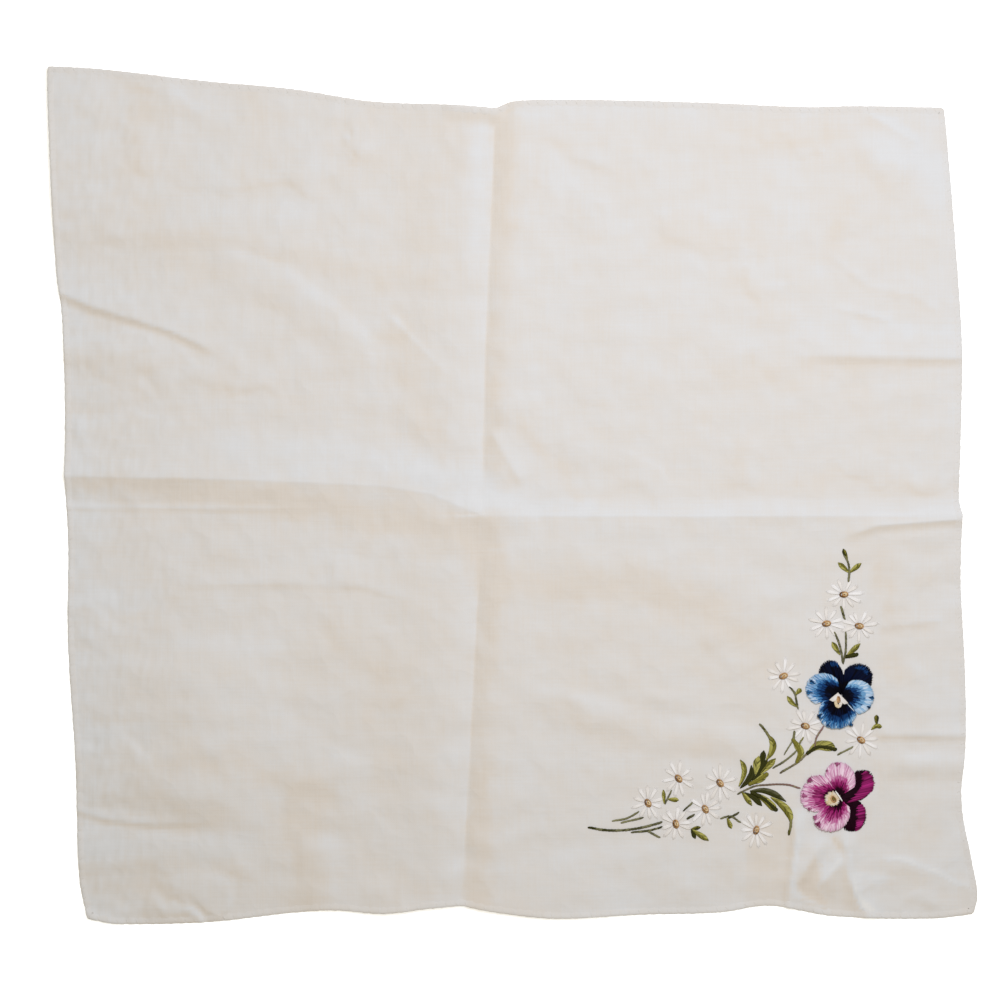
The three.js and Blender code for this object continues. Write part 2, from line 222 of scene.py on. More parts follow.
# Where the sheer lawn rests close on what is under it and takes its warmth, and where it stands clear and
# looks cool, with painted shade and painted light of the broad folds in the same strokes: a stroke has its
# full share along its line and none at left and right of it.
Stroke = namedtuple("Stroke", "line left right share")
WARMTH_AND_SHADE_STROKES = [
    Stroke([(-122, 134), (-122, 104)], 9, 9, 0.28),
    Stroke([(-84, 132), (-84, 108)], 8, 8, 0.12),
    Stroke([(-50, 128), (-49, 106)], 9, 9, 0.14),
    Stroke([(-30, 122), (-28, 84)], 14, 14, 0.12),
    Stroke([(-120, 91), (-104, 73)], 9, 9, 0.22),
    Stroke([(-100, 85.5), (-78, 80), (-64, 80)], 3, 4, 0.14),
    Stroke([(-62, 77), (-26, 71)], 7, 8, 0.22),
    Stroke([(-40, 56), (-27, 22)], 8, 9, 0.22),
    Stroke([(-98, 38), (-66, 32)], 6, 6, 0.12),
    Stroke([(-143, 3.5), (-106, 3)], 4, 5, 0.24),
    Stroke([(-112, 1), (-62, -4), (-36, -9), (-14, -14)], (5, 10), (6, 11), 0.36),
    Stroke([(-12, -10), (-6, -30)], 9, 9, 0.30),
    Stroke([(-6, -29), (40, -30), (62, -38), (84, -54)], 11, 11, 0.30),
    Stroke([(4, -48), (30, -47)], 8, 8, 0.08),
    Stroke([(20, -73), (74, -84)], 4, 6, 0.12),
    Stroke([(-107, -86), (-88, -90), (-60, -99)], 8, 8, 0.26),
    Stroke([(-68, -102), (-68, -137)], 13, 13, 0.32),
    Stroke([(-62, -44), (-40, -60), (-38, -92)], 15, 16, 0.16),
    Stroke([(-120, -56), (-96, -58)], 7, 7, 0.16),
    Stroke([(-92, -58), (-64, -62)], 7, 7, 0.12),
    Stroke([(-48, -124), (-34, -136)], 13, 13, 0.18),
    Stroke([(-141, -126), (-112, -132)], 7, 7, 0.20),
    Stroke([(-1.5, 130), (-3, 90)], 6, 6.5, 0.42),
    Stroke([(-3, 92), (-5, 34)], 5, 5, 0.22),
    Stroke([(-5.5, 36), (-6, 12)], 4, 4, 0.2),
    Stroke([(-8, -48), (-9, -95), (-9.5, -136)], 5, 8, 0.2),
    Stroke([(-148, 136), (-147, 80)], 12, 12, -0.12),
    Stroke([(-148, 66), (-146, 0)], 16, 16, -0.20),
    Stroke([(-146, -4), (-143, -70), (-139, -136)], 20, 20, -0.32),
    Stroke([(146, 120), (150, -120)], 18, 18, -0.16),
    Stroke([(30, -138), (138, -138)], 14, 14, -0.20),
    Stroke([(50, 84), (118, 60)], 42, 42, -0.08),
    Stroke([(-44, -52), (64, -64)], 36, 36, 0.10),
    Stroke([(-8, -18), (-8.6, -46)], 6, 5, 0.26),
    Stroke([(-10.5, -96), (-13, -137)], 8, 5, 0.24),
    Stroke([(-12, -132), (10, -138)], 7, 7, 0.22),
    Stroke([(50, 86), (80, 83)], 7, 7, 0.22),
    Stroke([(78, 116), (102, 118)], 8, 7, 0.24),
    Stroke([(110, 96), (107, 82)], 8, 8, 0.20),
    Stroke([(73, 71), (86, 61)], 5, 5, 0.22),
    Stroke([(70, 40), (100, 40)], 6, 7, 0.20),
    Stroke([(100, 43.5), (146, 43)], 3, 4, 0.14),
    Stroke([(2, 24), (23, 3)], 3, 5, 0.20),
    Stroke([(77, 19), (72, 3)], 6, 6, 0.16),
    Stroke([(84, 4), (142, 2)], 5, 5, 0.12),
    Stroke([(112, 42), (117, 28)], 6, 6, 0.14),
    Stroke([(124, -20), (124, -57)], 5, 5, 0.24),
    Stroke([(132, -45), (144, -50)], 8, 8, 0.10),
    Stroke([(83, -113), (83, -134)], 9, 9, 0.20),
    Stroke([(-90, 14), (-30, 10)], 10, 10, -0.20),
    Stroke([(-30, 5), (-6, 3)], 9, 8, -0.34),
    Stroke([(-8, -2), (22, -3.4)], 7, 5, -0.24),
    Stroke([(4, -13), (106, -14)], 8, 8, -0.16),
    Stroke([(-11, 120), (-12, 80)], 5, 6, -0.22),
    Stroke([(126, 116), (143, 104)], 15, 15, -0.34),
    Stroke([(94, 55), (149, 53)], 6, 5, -0.20),
    Stroke([(92, 110), (92, 96)], 8, 8, -0.16),
    Stroke([(13, 107), (35, 89)], 5, 5, -0.16),
    Stroke([(4, 127), (62, 126)], 5, 6, -0.20),
    Stroke([(37, 62), (43, 46)], 8, 8, -0.12),
    Stroke([(15, 84), (15, 62)], 9, 9, -0.10),
    Stroke([(60, 74), (58, 62)], 8, 8, -0.10),
    Stroke([(-147, -35), (-118, -35)], 5, 5, -0.28),
    Stroke([(-146, -80), (-121, -79)], 6, 6, -0.20),
    Stroke([(-143, -117), (-88, -115)], 6, 6, -0.20),
    Stroke([(-76, -23), (-54, -18)], 5, 5, -0.10),
    Stroke([(-146, 64), (-116, 66)], 9, 6, -0.12),
    Stroke([(-149, 136), (-136, 118)], 10, 10, -0.10),
    Stroke([(-102, 130), (-100, 104)], 9, 9, -0.14),
    Stroke([(-68, 121), (-64, 104)], 7, 7, -0.12),
    Stroke([(-102, 93), (-54, 91)], 6, 6, -0.10),
    Stroke([(8, -85), (22, -88)], 12, 12, -0.10),
    Stroke([(16, -116), (62, -121)], 11, 11, -0.12),
    Stroke([(124, -66), (146, -70)], 10, 10, -0.12),
    Stroke([(114, -123), (150, -120)], 10, 10, -0.14),
    Stroke([(86, -30), (98, -33)], 8, 8, -0.16),
    Stroke([(40, -65), (64, -75)], 4, 4, -0.14),
]

# A facet of the crumple at the front edge, by its corners: a positive share paints shade on a facet turned
# from the light, a negative one paints light on a crest. Its share is added over and above the strokes', and
# stops at its edges.
Patch = namedtuple("Patch", "corners share")
PAINTED_FACET_SHADING = [
    Patch(
        [
            (99.8, -118.5), (101.4, -121.5), (101.9, -126), (100.6, -129.4), (103.9, -133), (104, -136.8),
            (97.4, -133.6), (93.4, -130), (93.8, -128.2), (96.9, -122.7),
        ],
        0.6,
    ),
    Patch(
        [
            (109.7, -120.5), (110.6, -124.5), (111, -128.5), (113, -134.5), (115.5, -138.8), (106, -138.8),
            (103, -136.4), (103.9, -133), (100.6, -129.4), (103.9, -126.3), (106.8, -123.2),
        ],
        0.25,
    ),
    Patch(
        [(93.2, -129.6), (97.4, -133.6), (104.5, -136.8), (107, -138.6), (101, -137.6), (95.6, -134.6)],
        0.7,
    ),
    Patch([(104.4, -112.8), (107.4, -112.4), (109.3, -119.2), (107, -116.8)], 0.7),
    Patch(
        [
            (94.4, -103), (99, -105.5), (103.9, -113.8), (99.8, -118.5), (96.9, -122.7), (93.9, -128.2),
            (91.6, -134), (92.2, -125.4), (93, -115.8),
        ],
        -0.15,
    ),
    Patch(
        [
            (94.3, -109), (95.6, -112), (95, -118), (93.6, -124), (92.2, -131.6), (91.3, -132), (92.3, -125),
            (93.1, -116),
        ],
        -0.5,
    ),
    Patch(
        [
            (103.9, -114), (106.5, -117), (109.7, -119.8), (106.8, -123.2), (103.9, -126.3), (100.6, -129.4),
            (101.9, -126), (101.4, -121.5), (99.8, -118.5),
        ],
        -0.2,
    ),
    Patch(
        [(109.7, -119.8), (106.8, -123.2), (103.9, -126.3), (100.6, -129.4), (101.8, -126.6), (107.4, -119)],
        -0.35,
    ),
    Patch(
        [
            (107.6, -112.3), (109.6, -113), (112.2, -118), (112.6, -123), (113.6, -128.5), (115.8, -132.5),
            (121, -137), (118, -138.4), (114.6, -136.2), (112.4, -131.5), (111, -126.5), (110.4, -121.5),
            (109.9, -118.5),
        ],
        -0.6,
    ),
    Patch(
        [
            (113, -123.6), (117, -125), (122.4, -125.2), (123.6, -128), (122, -129.4), (118, -127.6),
            (113.6, -127.6),
        ],
        -0.4,
    ),
    Patch(
        [
            (122.6, -120.2), (127.3, -118.9), (131.9, -120), (135, -122.3), (134, -123.5), (131, -121.9),
            (127, -120.9), (123.2, -121.6),
        ],
        -0.4,
    ),
    Patch(
        [
            (135, -121.6), (140.5, -123), (144.5, -125.4), (149, -128.6), (148.4, -129.8), (143.5, -127.1),
            (139.8, -124.9), (135.5, -123.4),
        ],
        -0.4,
    ),
    Patch([(123, -121.8), (134, -123.6), (139, -127), (132, -131), (124, -129)], 0.1),
    Patch([(78, -104), (93.4, -104), (92.6, -115.8), (91.6, -125.4), (90, -137), (76, -136)], 0.2),
]
PATCH_EDGE = 0.9  # over which a patch comes in


def mix(a, b, share):
    return a + (b - a) * share


def ease(share):
    t = np.clip(share, 0, 1)
    return t * t * (3 - 2 * t)


def smooth_between(places, values, slopes, at):
    """A smooth curve through the values at those places, with those slopes there."""
    k = np.clip(np.searchsorted(places, at) - 1, 0, len(places) - 2)
    span = places[k + 1] - places[k]
    t = (at - places[k]) / span
    start = (1 + 2 * t) * (1 - t) ** 2 * values[k] + t * (1 - t) ** 2 * span * slopes[k]
    end = t * t * (3 - 2 * t) * values[k + 1] + t * t * (t - 1) * span * slopes[k + 1]
    return start + end


def off_at(rows, at):
    """A smooth run through (share, off) rows that starts and ends at 0."""
    knots = np.array([(0, 0), *rows, (1, 0)], float)
    places, offs = knots[:, 0], knots[:, 1]
    before = np.maximum(np.arange(len(knots)) - 1, 0)
    after = np.minimum(np.arange(len(knots)) + 1, len(knots) - 1)
    slopes = (offs[after] - offs[before]) / (places[after] - places[before])
    return smooth_between(places, offs, slopes, at)


def stretch(rows, start, end, at, axis):
    """Points on one stretch of edge or fold, which leaves its straight line along one axis."""
    points = np.stack([mix(start[0], end[0], at), mix(start[1], end[1], at)])
    points[axis] += off_at(rows, at)
    return points


def quarter_points(side, end, s, t):
    """Points of one quarter from its four sides: s is the share out to its side edge, t to its end edge."""
    fold = stretch(ACROSS["fold", side], CENTRE, MIDDLE[side], s, 1)
    edge = stretch(ACROSS[end, side], MIDDLE[end], CORNER[end, side], s, 1)
    inner = stretch(ALONG["fold", end], CENTRE, MIDDLE[end], t, 0)
    outer = stretch(ALONG[side, end], MIDDLE[side], CORNER[end, side], t, 0)
    column = np.ones((2,) + (1,) * np.ndim(s))
    centre, middle_side, middle_end, corner = (
        column * np.reshape(p, column.shape)
        for p in (CENTRE, MIDDLE[side], MIDDLE[end], CORNER[end, side])
    )
    fold_ends = mix(centre, middle_side, s)
    edge_ends = mix(middle_end, corner, s)
    return mix(fold, edge, t) + mix(inner, outer, s) - mix(fold_ends, edge_ends, t)


def sheet_points(u, v):
    """Points of the sheet: u runs from -1 at the left edge over 0 at the fold to 1, v from front to back."""
    points = np.zeros((2,) + u.shape)
    for side, on_side in (("left", u < 0), ("right", u >= 0)):
        for end, on_end in (("front", v < 0), ("back", v >= 0)):
            mine = on_side & on_end
            points[:, mine] = quarter_points(side, end, np.abs(u[mine]), np.abs(v[mine]))
    return points


def beside(line, x, y):
    """Each point's distance from a line, if it is to the right and how far along; and the line's length."""
    nearest = np.full(x.shape, np.inf)
    to_right = np.zeros(x.shape, bool)
    walked = np.zeros(x.shape)
    passed = 0.0
    for (ax, ay), (bx, by) in zip(line, line[1:]):
        dx, dy = bx - ax, by - ay
        length = math.hypot(dx, dy)
        share = np.clip(((x - ax) * dx + (y - ay) * dy) / length**2, 0, 1)
        distance = np.hypot(x - ax - dx * share, y - ay - dy * share)
        closer = distance < nearest
        nearest = np.where(closer, distance, nearest)
        to_right = np.where(closer, dy * (x - ax) - dx * (y - ay) > 0, to_right)
        walked = np.where(closer, passed + share * length, walked)
        passed += length
    return nearest, to_right, walked, passed


def reach_beside(row, x, y):
    """How far each point is across a row's reach beside its line, from 0 to 1, and how far along the line."""
    distance, to_right, walked, length = beside(row.line, x, y)
    left, right = (
        mix(*reach, walked / length) if isinstance(reach, tuple) else reach for reach in (row.left, row.right)
    )
    return np.minimum(distance / np.where(to_right, right, left), 1), walked, length


def painted_facet_share(patch, x, y):
    """The patch's share where a point is within its corners, coming in over PATCH_EDGE."""
    closed = [*patch.corners, patch.corners[0]]
    inside = np.zeros(x.shape, bool)
    for (ax, ay), (bx, by) in zip(closed, closed[1:]):
        level = (ay > y) != (by > y)
        inside ^= level & (x < ax + (bx - ax) * (y - ay) / (by - ay if by != ay else 1))
    return patch.share * inside * ease(beside(closed, x, y)[0] / PATCH_EDGE)


def fold_height(fold, x, y):
    reach, walked, length = reach_beside(fold, x, y)
    section = (1 - reach) ** RIDGE_SHARPNESS if fold.creased else (1 - reach**2) ** 2
    if fold.fade_in:
        section = section * ease(walked / fold.fade_in)
    if fold.fade_out:
        section = section * ease((length - walked) / fold.fade_out)
    return fold.rise * section


def valley_height(valley, x, y):
    distance, to_right, _, _ = beside(valley.line, x, y)
    rise = np.where(to_right, valley.right_rise, valley.left_rise)
    near = np.where(to_right, valley.right_near, valley.left_near)
    far = np.where(to_right, valley.right_far, valley.left_far)
    rising = 1 - (1 - distance / near) ** 2
    falling = 1 - ease((distance - near) / (far - near))
    return rise * np.where(distance < near, rising, falling)


WAVES = 26
SHORTEST_WAVE, LONGEST_WAVE = 0.7, 1.5  # as shares of the wavelength that is asked for
WAVE_PEAK = 1.5  # what the waves mostly stay within before they are scaled


def undulation(x, y, wavelength, seed, drawn_out=1.0):
    """A smooth random field of about that wavelength, mostly within 1 of 0, drawn out along the threads."""
    pick = np.random.RandomState(seed)
    headings = pick.uniform(0, math.pi, WAVES)
    sizes = pick.uniform(SHORTEST_WAVE, LONGEST_WAVE, WAVES)
    phases = pick.uniform(0, 2 * math.pi, WAVES)
    total = np.zeros(np.shape(x))
    for heading, size, phase in zip(headings, sizes, phases):
        turns = 2 * math.pi / (wavelength * size)
        total += np.cos(turns * (math.cos(heading) * x / drawn_out + math.sin(heading) * y) + phase)
    return total * math.sqrt(2 / WAVES) / WAVE_PEAK


def astray(x, y, wanders):
    """The same points, moved off by each wander in turn, so that what is drawn with straight lines strays."""
    for reach, wavelength, seed in wanders:
        x, y = (
            x + reach * undulation(x, y, wavelength, seed),
            y + reach * undulation(x, y, wavelength, seed + 1),
        )
    return x, y


# How the rounded creases stray, as reach, wavelength and seed
CREASE_WANDERS = [(2.0, 17, 21), (0.6, 5, 23)]

# The slack that washing leaves: how high it waves along the weft and the warp, and the waves as wavelength,
# seed and how far they are drawn out
WEFT_SLACK, WEFT_WAVES = 0.10, (14, 3, 1.6)
WARP_SLACK, WARP_WAVES = 0.05, (6.5, 4, 1.4)
SLACK_LIFT = 0.1

PUCKER, PUCKER_WAVES = 0.07, (6, 6, 0.5)  # how high the left edge puckers
PUCKERED_TO, PUCKERED_OVER = -95, 40


def relief(x, y):
    """Height of the cloth's underside. Folds that cross add up as the sides of a right angle do."""
    off = astray(x, y, CREASE_WANDERS)
    main = [*QUARTER_FOLDS.values(), *MAIN_FOLDS.values()]
    squares = sum(fold_height(fold, x, y) ** 2 for fold in main)
    squares = squares + sum(valley_height(valley, x, y) ** 2 for valley in VALLEYS)
    rows = [fold for quarter in CREASES.values() for fold in quarter]
    fine = sum(fold_height(fold, *((x, y) if fold.creased else off)) for fold in rows)
    weft = WEFT_SLACK * undulation(x, y, *WEFT_WAVES)
    warp = WARP_SLACK * undulation(y, x, *WARP_WAVES)
    pucker = PUCKER * ease((PUCKERED_TO - x) / PUCKERED_OVER) * undulation(x, y, *PUCKER_WAVES)
    return np.maximum(np.sqrt(squares) + fine + (weft + warp + SLACK_LIFT) + pucker, 0)


OUTLINE_SAMPLES = 801


def outline_shift():
    """Brings the middle of the outline's box to the origin, where the solid has it."""
    share = np.linspace(-1, 1, OUTLINE_SAMPLES)
    ends = [sheet_points(share, np.full_like(share, v)) for v in (-1.0, 1.0)]
    sides = [sheet_points(np.full_like(share, u), share) for u in (-1.0, 1.0)]
    rim = np.concatenate(ends + sides, axis=1)
    return -(rim.min(axis=1) + rim.max(axis=1)) / 2


SHIFT = outline_shift()


def placed(x, y, z):
    """Rows of x, y, z in metres, in the frame, from millimetres on the sheet."""
    return np.stack([x + SHIFT[0], y + SHIFT[1], z], axis=-1).reshape(-1, 3) * MM


# ---------------------------------------------------------------- making meshes and materials


def new_object(name, data):
    made = bpy.data.objects.new(name, data)
    bpy.context.scene.collection.objects.link(made)
    return made


def new_piece(name, vertices, faces, material, smooth=True):
    mesh = bpy.data.meshes.new(name)
    mesh.from_pydata(vertices, [], faces)
    mesh.materials.append(material)
    mesh.polygons.foreach_set("use_smooth", [smooth] * len(mesh.polygons))
    return new_object(name, mesh)


def store(mesh, name, values):
    """Keeps one number for each vertex on the mesh, for a material or a node tree to read."""
    mesh.attributes.new(name, "FLOAT", "POINT").data.foreach_set("value", values)


def linear(hex_colour):
    """An sRGB hex colour as linear red, green, blue and alpha."""
    channels = [int(hex_colour[k : k + 2], 16) / 255 for k in (1, 3, 5)]
    return tuple(c / 12.92 if c <= 0.04045 else ((c + 0.055) / 1.055) ** 2.4 for c in channels) + (1.0,)


def add(tree, kind, settings=None, **links):
    """Adds a node, sets its properties and inputs, and links it.

    settings: node properties and, as a number or a name in "in:", input values. links: input name with
    underscores for spaces, to an output socket or a value.
    """
    node = tree.nodes.new(kind)
    for key, value in (settings or {}).items():
        if isinstance(key, int) or key in node.inputs:
            set_input(tree, node.inputs[key], value)
        else:
            setattr(node, key, value)
    for key, value in links.items():
        set_input(tree, node.inputs[key.replace("_", " ")], value)
    return node


def set_input(tree, socket, value):
    if isinstance(value, bpy.types.NodeSocket):
        tree.links.new(value, socket)
    else:
        socket.default_value = value


def new_material(name):
    material = bpy.data.materials.new(name)
    material.use_nodes = True
    tree = material.node_tree
    return material, tree, tree.nodes["Principled BSDF"]


def ramp(tree, value, stops):
    """A colour for a value, by (value, hex colour) stops in rising order."""
    low, high = stops[0][0], stops[-1][0]
    scaled = add(tree, "ShaderNodeMapRange", {"Value": value, "From Min": low, "From Max": high}).outputs[0]
    node = add(tree, "ShaderNodeValToRGB", {"Fac": scaled})
    elements = node.color_ramp.elements
    while len(elements) < len(stops):
        elements.new(1.0)
    for element, (place, colour) in zip(elements, stops):
        element.position = (place - low) / (high - low)
        element.color = linear(colour)
    return node.outputs["Color"]


def math_node(tree, operation, a, b=0.0):
    return add(tree, "ShaderNodeMath", {"operation": operation, 0: a, 1: b}).outputs[0]


def times(tree, a, b):
    return math_node(tree, "MULTIPLY", a, b)


def plus(tree, a, b):
    return math_node(tree, "ADD", a, b)


def minus(tree, a, b):
    return math_node(tree, "SUBTRACT", a, b)


def attribute(tree, name, output="Fac"):
    return add(tree, "ShaderNodeAttribute", {"attribute_name": name}).outputs[output]


def bump(tree, strength, distance, height, under=None):
    """A bump of that depth in metres over the one under it."""
    links = {"Height": height, "Normal": under} if under else {"Height": height}
    return add(tree, "ShaderNodeBump", Strength=strength, Distance=distance, **links).outputs[0]


def noise_along(tree, where, scale, detail=2.0):
    """Noise in a space scaled along X, Y and Z, so that it is drawn out along the smallest."""
    stretched = add(tree, "ShaderNodeMapping", Vector=where, Scale=scale)
    return add(
        tree, "ShaderNodeTexNoise", Vector=stretched.outputs[0], Scale=1.0, Detail=detail, Roughness=0.55
    ).outputs[0]


WEAVE_PITCH = 0.0007  # about twice a lawn's thread spacing, so that it shows
WEAVE_BUMP = (0.15, 0.00003)  # strength, and depth in metres
SLUB_BUMP = (0.35, 0.0001)
SLUBS_ALONG, SLUBS_ACROSS = 60, 1500  # to the metre, along a thread and across it
SLUB_TINT = 0.5  # how much warmer a slub looks
# The lawn's colours from cool at 0 to warm at 1: under 0 painted light on crests that stand clear,
# over 1 painted shade on facets out of the light
LAWN_SHADES = [(-1, "#EAE7E1"), (0, "#DDDDDD"), (1, "#DDD4C9"), (2, "#D0C1AF")]
CRUMPLES = [(0.011, 0.035), (0.005, 0.025)]  # the size of the facets that washing leaves, and how steep
CRUMPLE_WOBBLE, WOBBLES = 0.006, 120.0  # how far their edges stray, and how often to the metre


def cotton_lawn():
    """Cotton lawn in plain weave, washed soft: matt and even, with slubs along both threads, painted light
    and cool where it faces the window, painted shade where it turns away, and warmer where it lies close on
    the surface."""
    material, tree, shader = new_material("cotton_lawn")
    where = add(tree, "ShaderNodeTexCoord").outputs["Object"]
    warmth_and_painted_shade = attribute(tree, "warmth_and_painted_shade")
    weft = noise_along(tree, where, (SLUBS_ALONG, SLUBS_ACROSS, 1))
    warp = noise_along(tree, where, (SLUBS_ACROSS, SLUBS_ALONG, 1))
    slubs = plus(tree, weft, warp)
    tint_and_shade = plus(tree, warmth_and_painted_shade, times(tree, minus(tree, slubs, 1.0), SLUB_TINT))
    tree.links.new(ramp(tree, tint_and_shade, LAWN_SHADES), shader.inputs["Base Color"])

    thread = 2 * math.pi / WEAVE_PITCH
    place = add(tree, "ShaderNodeSeparateXYZ", Vector=where)
    across, along = (math_node(tree, "SINE", times(tree, place.outputs[axis], thread)) for axis in (0, 1))
    surface = bump(tree, *WEAVE_BUMP, times(tree, across, along))
    surface = bump(tree, *SLUB_BUMP, slubs, surface)

    noise = add(tree, "ShaderNodeTexNoise", Vector=where, Scale=WOBBLES, Detail=2.0).outputs["Color"]
    wobble = {"operation": "SCALE", 0: noise, "Scale": CRUMPLE_WOBBLE}
    shift = add(tree, "ShaderNodeVectorMath", wobble).outputs[0]
    wobbly = add(tree, "ShaderNodeVectorMath", {"operation": "ADD", 0: where, 1: shift}).outputs[0]
    for size, slope in CRUMPLES:
        cells = add(tree, "ShaderNodeTexVoronoi", Vector=wobbly, Scale=1 / size).outputs[0]
        surface = bump(tree, 1.0, slope * size, cells, surface)
    tree.links.new(surface, shader.inputs["Normal"])
    shader.inputs["Roughness"].default_value = 0.9
    shader.inputs["Sheen Weight"].default_value = 0.1
    shader.inputs["Specular IOR Level"].default_value = 0.2
    return material


# Painted shade where a strand dives into the cloth, and painted light gained towards its crown
DIVING_PAINTED_SHADE, CROWN_PAINTED_LIGHT = 0.92, 0.4  # how light a strand is where it dives, and how much it gains between


def mercerised_cotton():
    """Mercerised embroidery cotton: a soft lustre, each strand in its own shade, with painted shade where it
    dives.
    """
    material, tree, shader = new_material("mercerised_cotton")
    colour = attribute(tree, "thread_colour", "Color")
    along = attribute(tree, "strand_share")
    bow = times(tree, along, minus(tree, 1.0, along))
    light = plus(tree, DIVING_PAINTED_SHADE, times(tree, bow, CROWN_PAINTED_LIGHT))
    lit = add(tree, "ShaderNodeVectorMath", {"operation": "SCALE", 0: colour, "Scale": light}).outputs[0]
    tree.links.new(lit, shader.inputs["Base Color"])
    shader.inputs["Roughness"].default_value = 0.55
    shader.inputs["Specular IOR Level"].default_value = 0.05
    return material


# ---------------------------------------------------------------- the lawn

HEM_INSET = 0.8  # from the outline in to the middle of the rolled hem, where the flat cloth ends
LINES_PER_HALF = 148
UNDER_STEP = 3  # the unseen underside has every third line of the top: LINES_PER_HALF less one divides by it
FINE_REACH, FINE_STEP = 4.0, 0.4  # beside a quarter fold, where the mesh's lines lie closest together
MID_REACH, MID_STEP = 14.0, 0.8


def line_shares():
    """Where the mesh's lines lie, from -1 at one edge over 0 at the fold to 1: closest beside the fold."""
    edge = 1 - HEM_INSET / HALF_WIDTH
    fine = np.arange(0, FINE_REACH, FINE_STEP)
    mid = np.arange(FINE_REACH, MID_REACH, MID_STEP)
    near = np.concatenate([fine, mid]) / HALF_WIDTH
    far = np.linspace(MID_REACH / HALF_WIDTH, edge, LINES_PER_HALF - len(near))
    half = np.concatenate([near, far])
    return np.concatenate([-half[:0:-1], half])


def grid_faces(index):
    """Quads between the rows and columns of a grid of vertex numbers, counter-clockwise seen from above."""
    corners = (index[:-1, :-1], index[:-1, 1:], index[1:, 1:], index[1:, :-1])
    return np.stack(corners, axis=-1).reshape(-1, 4)


def grid_rim(index):
    """The vertex numbers round a grid, counter-clockwise, without the first again."""
    return np.concatenate([index[0, :-1], index[:-1, -1], index[-1, :0:-1], index[:0:-1, 0]])


def make_lawn(material):
    """The lawn as a closed sheet: a fine top, a coarse underside, and walls between their rims."""
    shares = line_shares()
    u, v = np.meshgrid(shares, shares)
    x, y = sheet_points(u, v)
    z = relief(x, y)
    shade_and_warmth = painted_shade_and_warmth(x, y)
    coarse = (slice(None, None, UNDER_STEP), slice(None, None, UNDER_STEP))
    vertices = np.concatenate([placed(x, y, z + LAWN_THICKNESS), placed(x[coarse], y[coarse], z[coarse])])
    top = np.arange(x.size).reshape(x.shape)
    under = x.size + np.arange(x[coarse].size).reshape(x[coarse].shape)
    top_rim, under_rim = grid_rim(top), grid_rim(under)
    walls = []
    for k, low in enumerate(under_rim):
        next_low = under_rim[(k + 1) % len(under_rim)]
        high = [top_rim[(UNDER_STEP * k + step) % len(top_rim)] for step in range(UNDER_STEP, -1, -1)]
        walls.append([int(number) for number in (low, next_low, *high)])
    faces = grid_faces(top).tolist() + grid_faces(under)[:, ::-1].tolist() + walls
    lawn = new_piece("lawn", vertices.tolist(), faces, material)
    # warmth of what lies under the lawn, with painted shade and painted light, for its colour ramp
    store(lawn.data, "warmth_and_painted_shade", np.concatenate([shade_and_warmth.ravel(), shade_and_warmth[coarse].ravel()]))
    return lawn


TOWARDS_WINDOW = (0.55, 0.83)
SLOPE_STEP = 1.0  # over which the slope is taken
# painted shade on slopes that turn from the window, painted light on those that face it
SLOPE_PAINTED_SHADE = 1.6
LEVEL_WARMTH = 0.5
# Faint clouds of warmth along the weft and the warp, as wavelength, seed and how far they are drawn out
WEFT_CLOUDS, WEFT_CLOUD_WAVES = 0.06, (14, 11, 1.3)
WARP_CLOUDS, WARP_CLOUD_WAVES = 0.05, (6, 12, 1.3)
STROKE_WANDERS = [(1.6, 14, 27), (0.7, 4, 29)]


def painted_shade_and_warmth(x, y):
    """Warm where the cloth touches; painted shade where it turns from the window, painted light where it
    faces it.
    """
    here = relief(x, y)
    ahead = relief(x + SLOPE_STEP * TOWARDS_WINDOW[0], y + SLOPE_STEP * TOWARDS_WINDOW[1])
    facing = (here - ahead) / SLOPE_STEP
    weft = WEFT_CLOUDS * undulation(x, y, *WEFT_CLOUD_WAVES)
    warp = WARP_CLOUDS * undulation(y, x, *WARP_CLOUD_WAVES)
    off = astray(x, y, STROKE_WANDERS)
    strokes = sum(row.share * (1 - reach_beside(row, *off)[0] ** 2) ** 2 for row in WARMTH_AND_SHADE_STROKES)
    painted_facets = sum(painted_facet_share(patch, x, y) for patch in PAINTED_FACET_SHADING)
    return np.clip(LEVEL_WARMTH - SLOPE_PAINTED_SHADE * facing + (weft + warp) + strokes, 0, 1) + painted_facets


# ---------------------------------------------------------------- the rolled hem

# The rolled hem in section, as (outward, up) from the middle of its foot: it flattens inward into the cloth
HEM_SECTION = [
    (0.75, 0.22), (0.62, 0.40), (0.30, 0.50), (-0.05, 0.52), (-0.45, 0.48), (-0.90, 0.42),
    (-1.40, 0.35), (-1.80, 0.24), (-1.40, 0.12), (-0.30, 0.00), (0.50, 0.03),
]
WHIP_SPACING = 3.2  # from one whip stitch to the next, each pinching the roll
WHIP_PINCH = 0.05
HEM_UNEVENNESS = 0.06
HEM_STEP = 0.8
HEM_SAMPLES = 2000  # on each side, before they are spaced out evenly
# The hem takes a share of the lawn's warmth and painted shade, and a least amount of it
HEM_WARMTH_AND_SHADE, LEAST_HEM_WARMTH_AND_SHADE = 0.6, 0.2  # the share of the lawn's warmth that it takes, and what it adds


def walked_along(line):
    """A line's points as an array, and how far along it each lies."""
    knots = np.array(line, float)
    return knots, np.concatenate([[0], np.cumsum(np.hypot(*np.diff(knots, axis=0).T))])


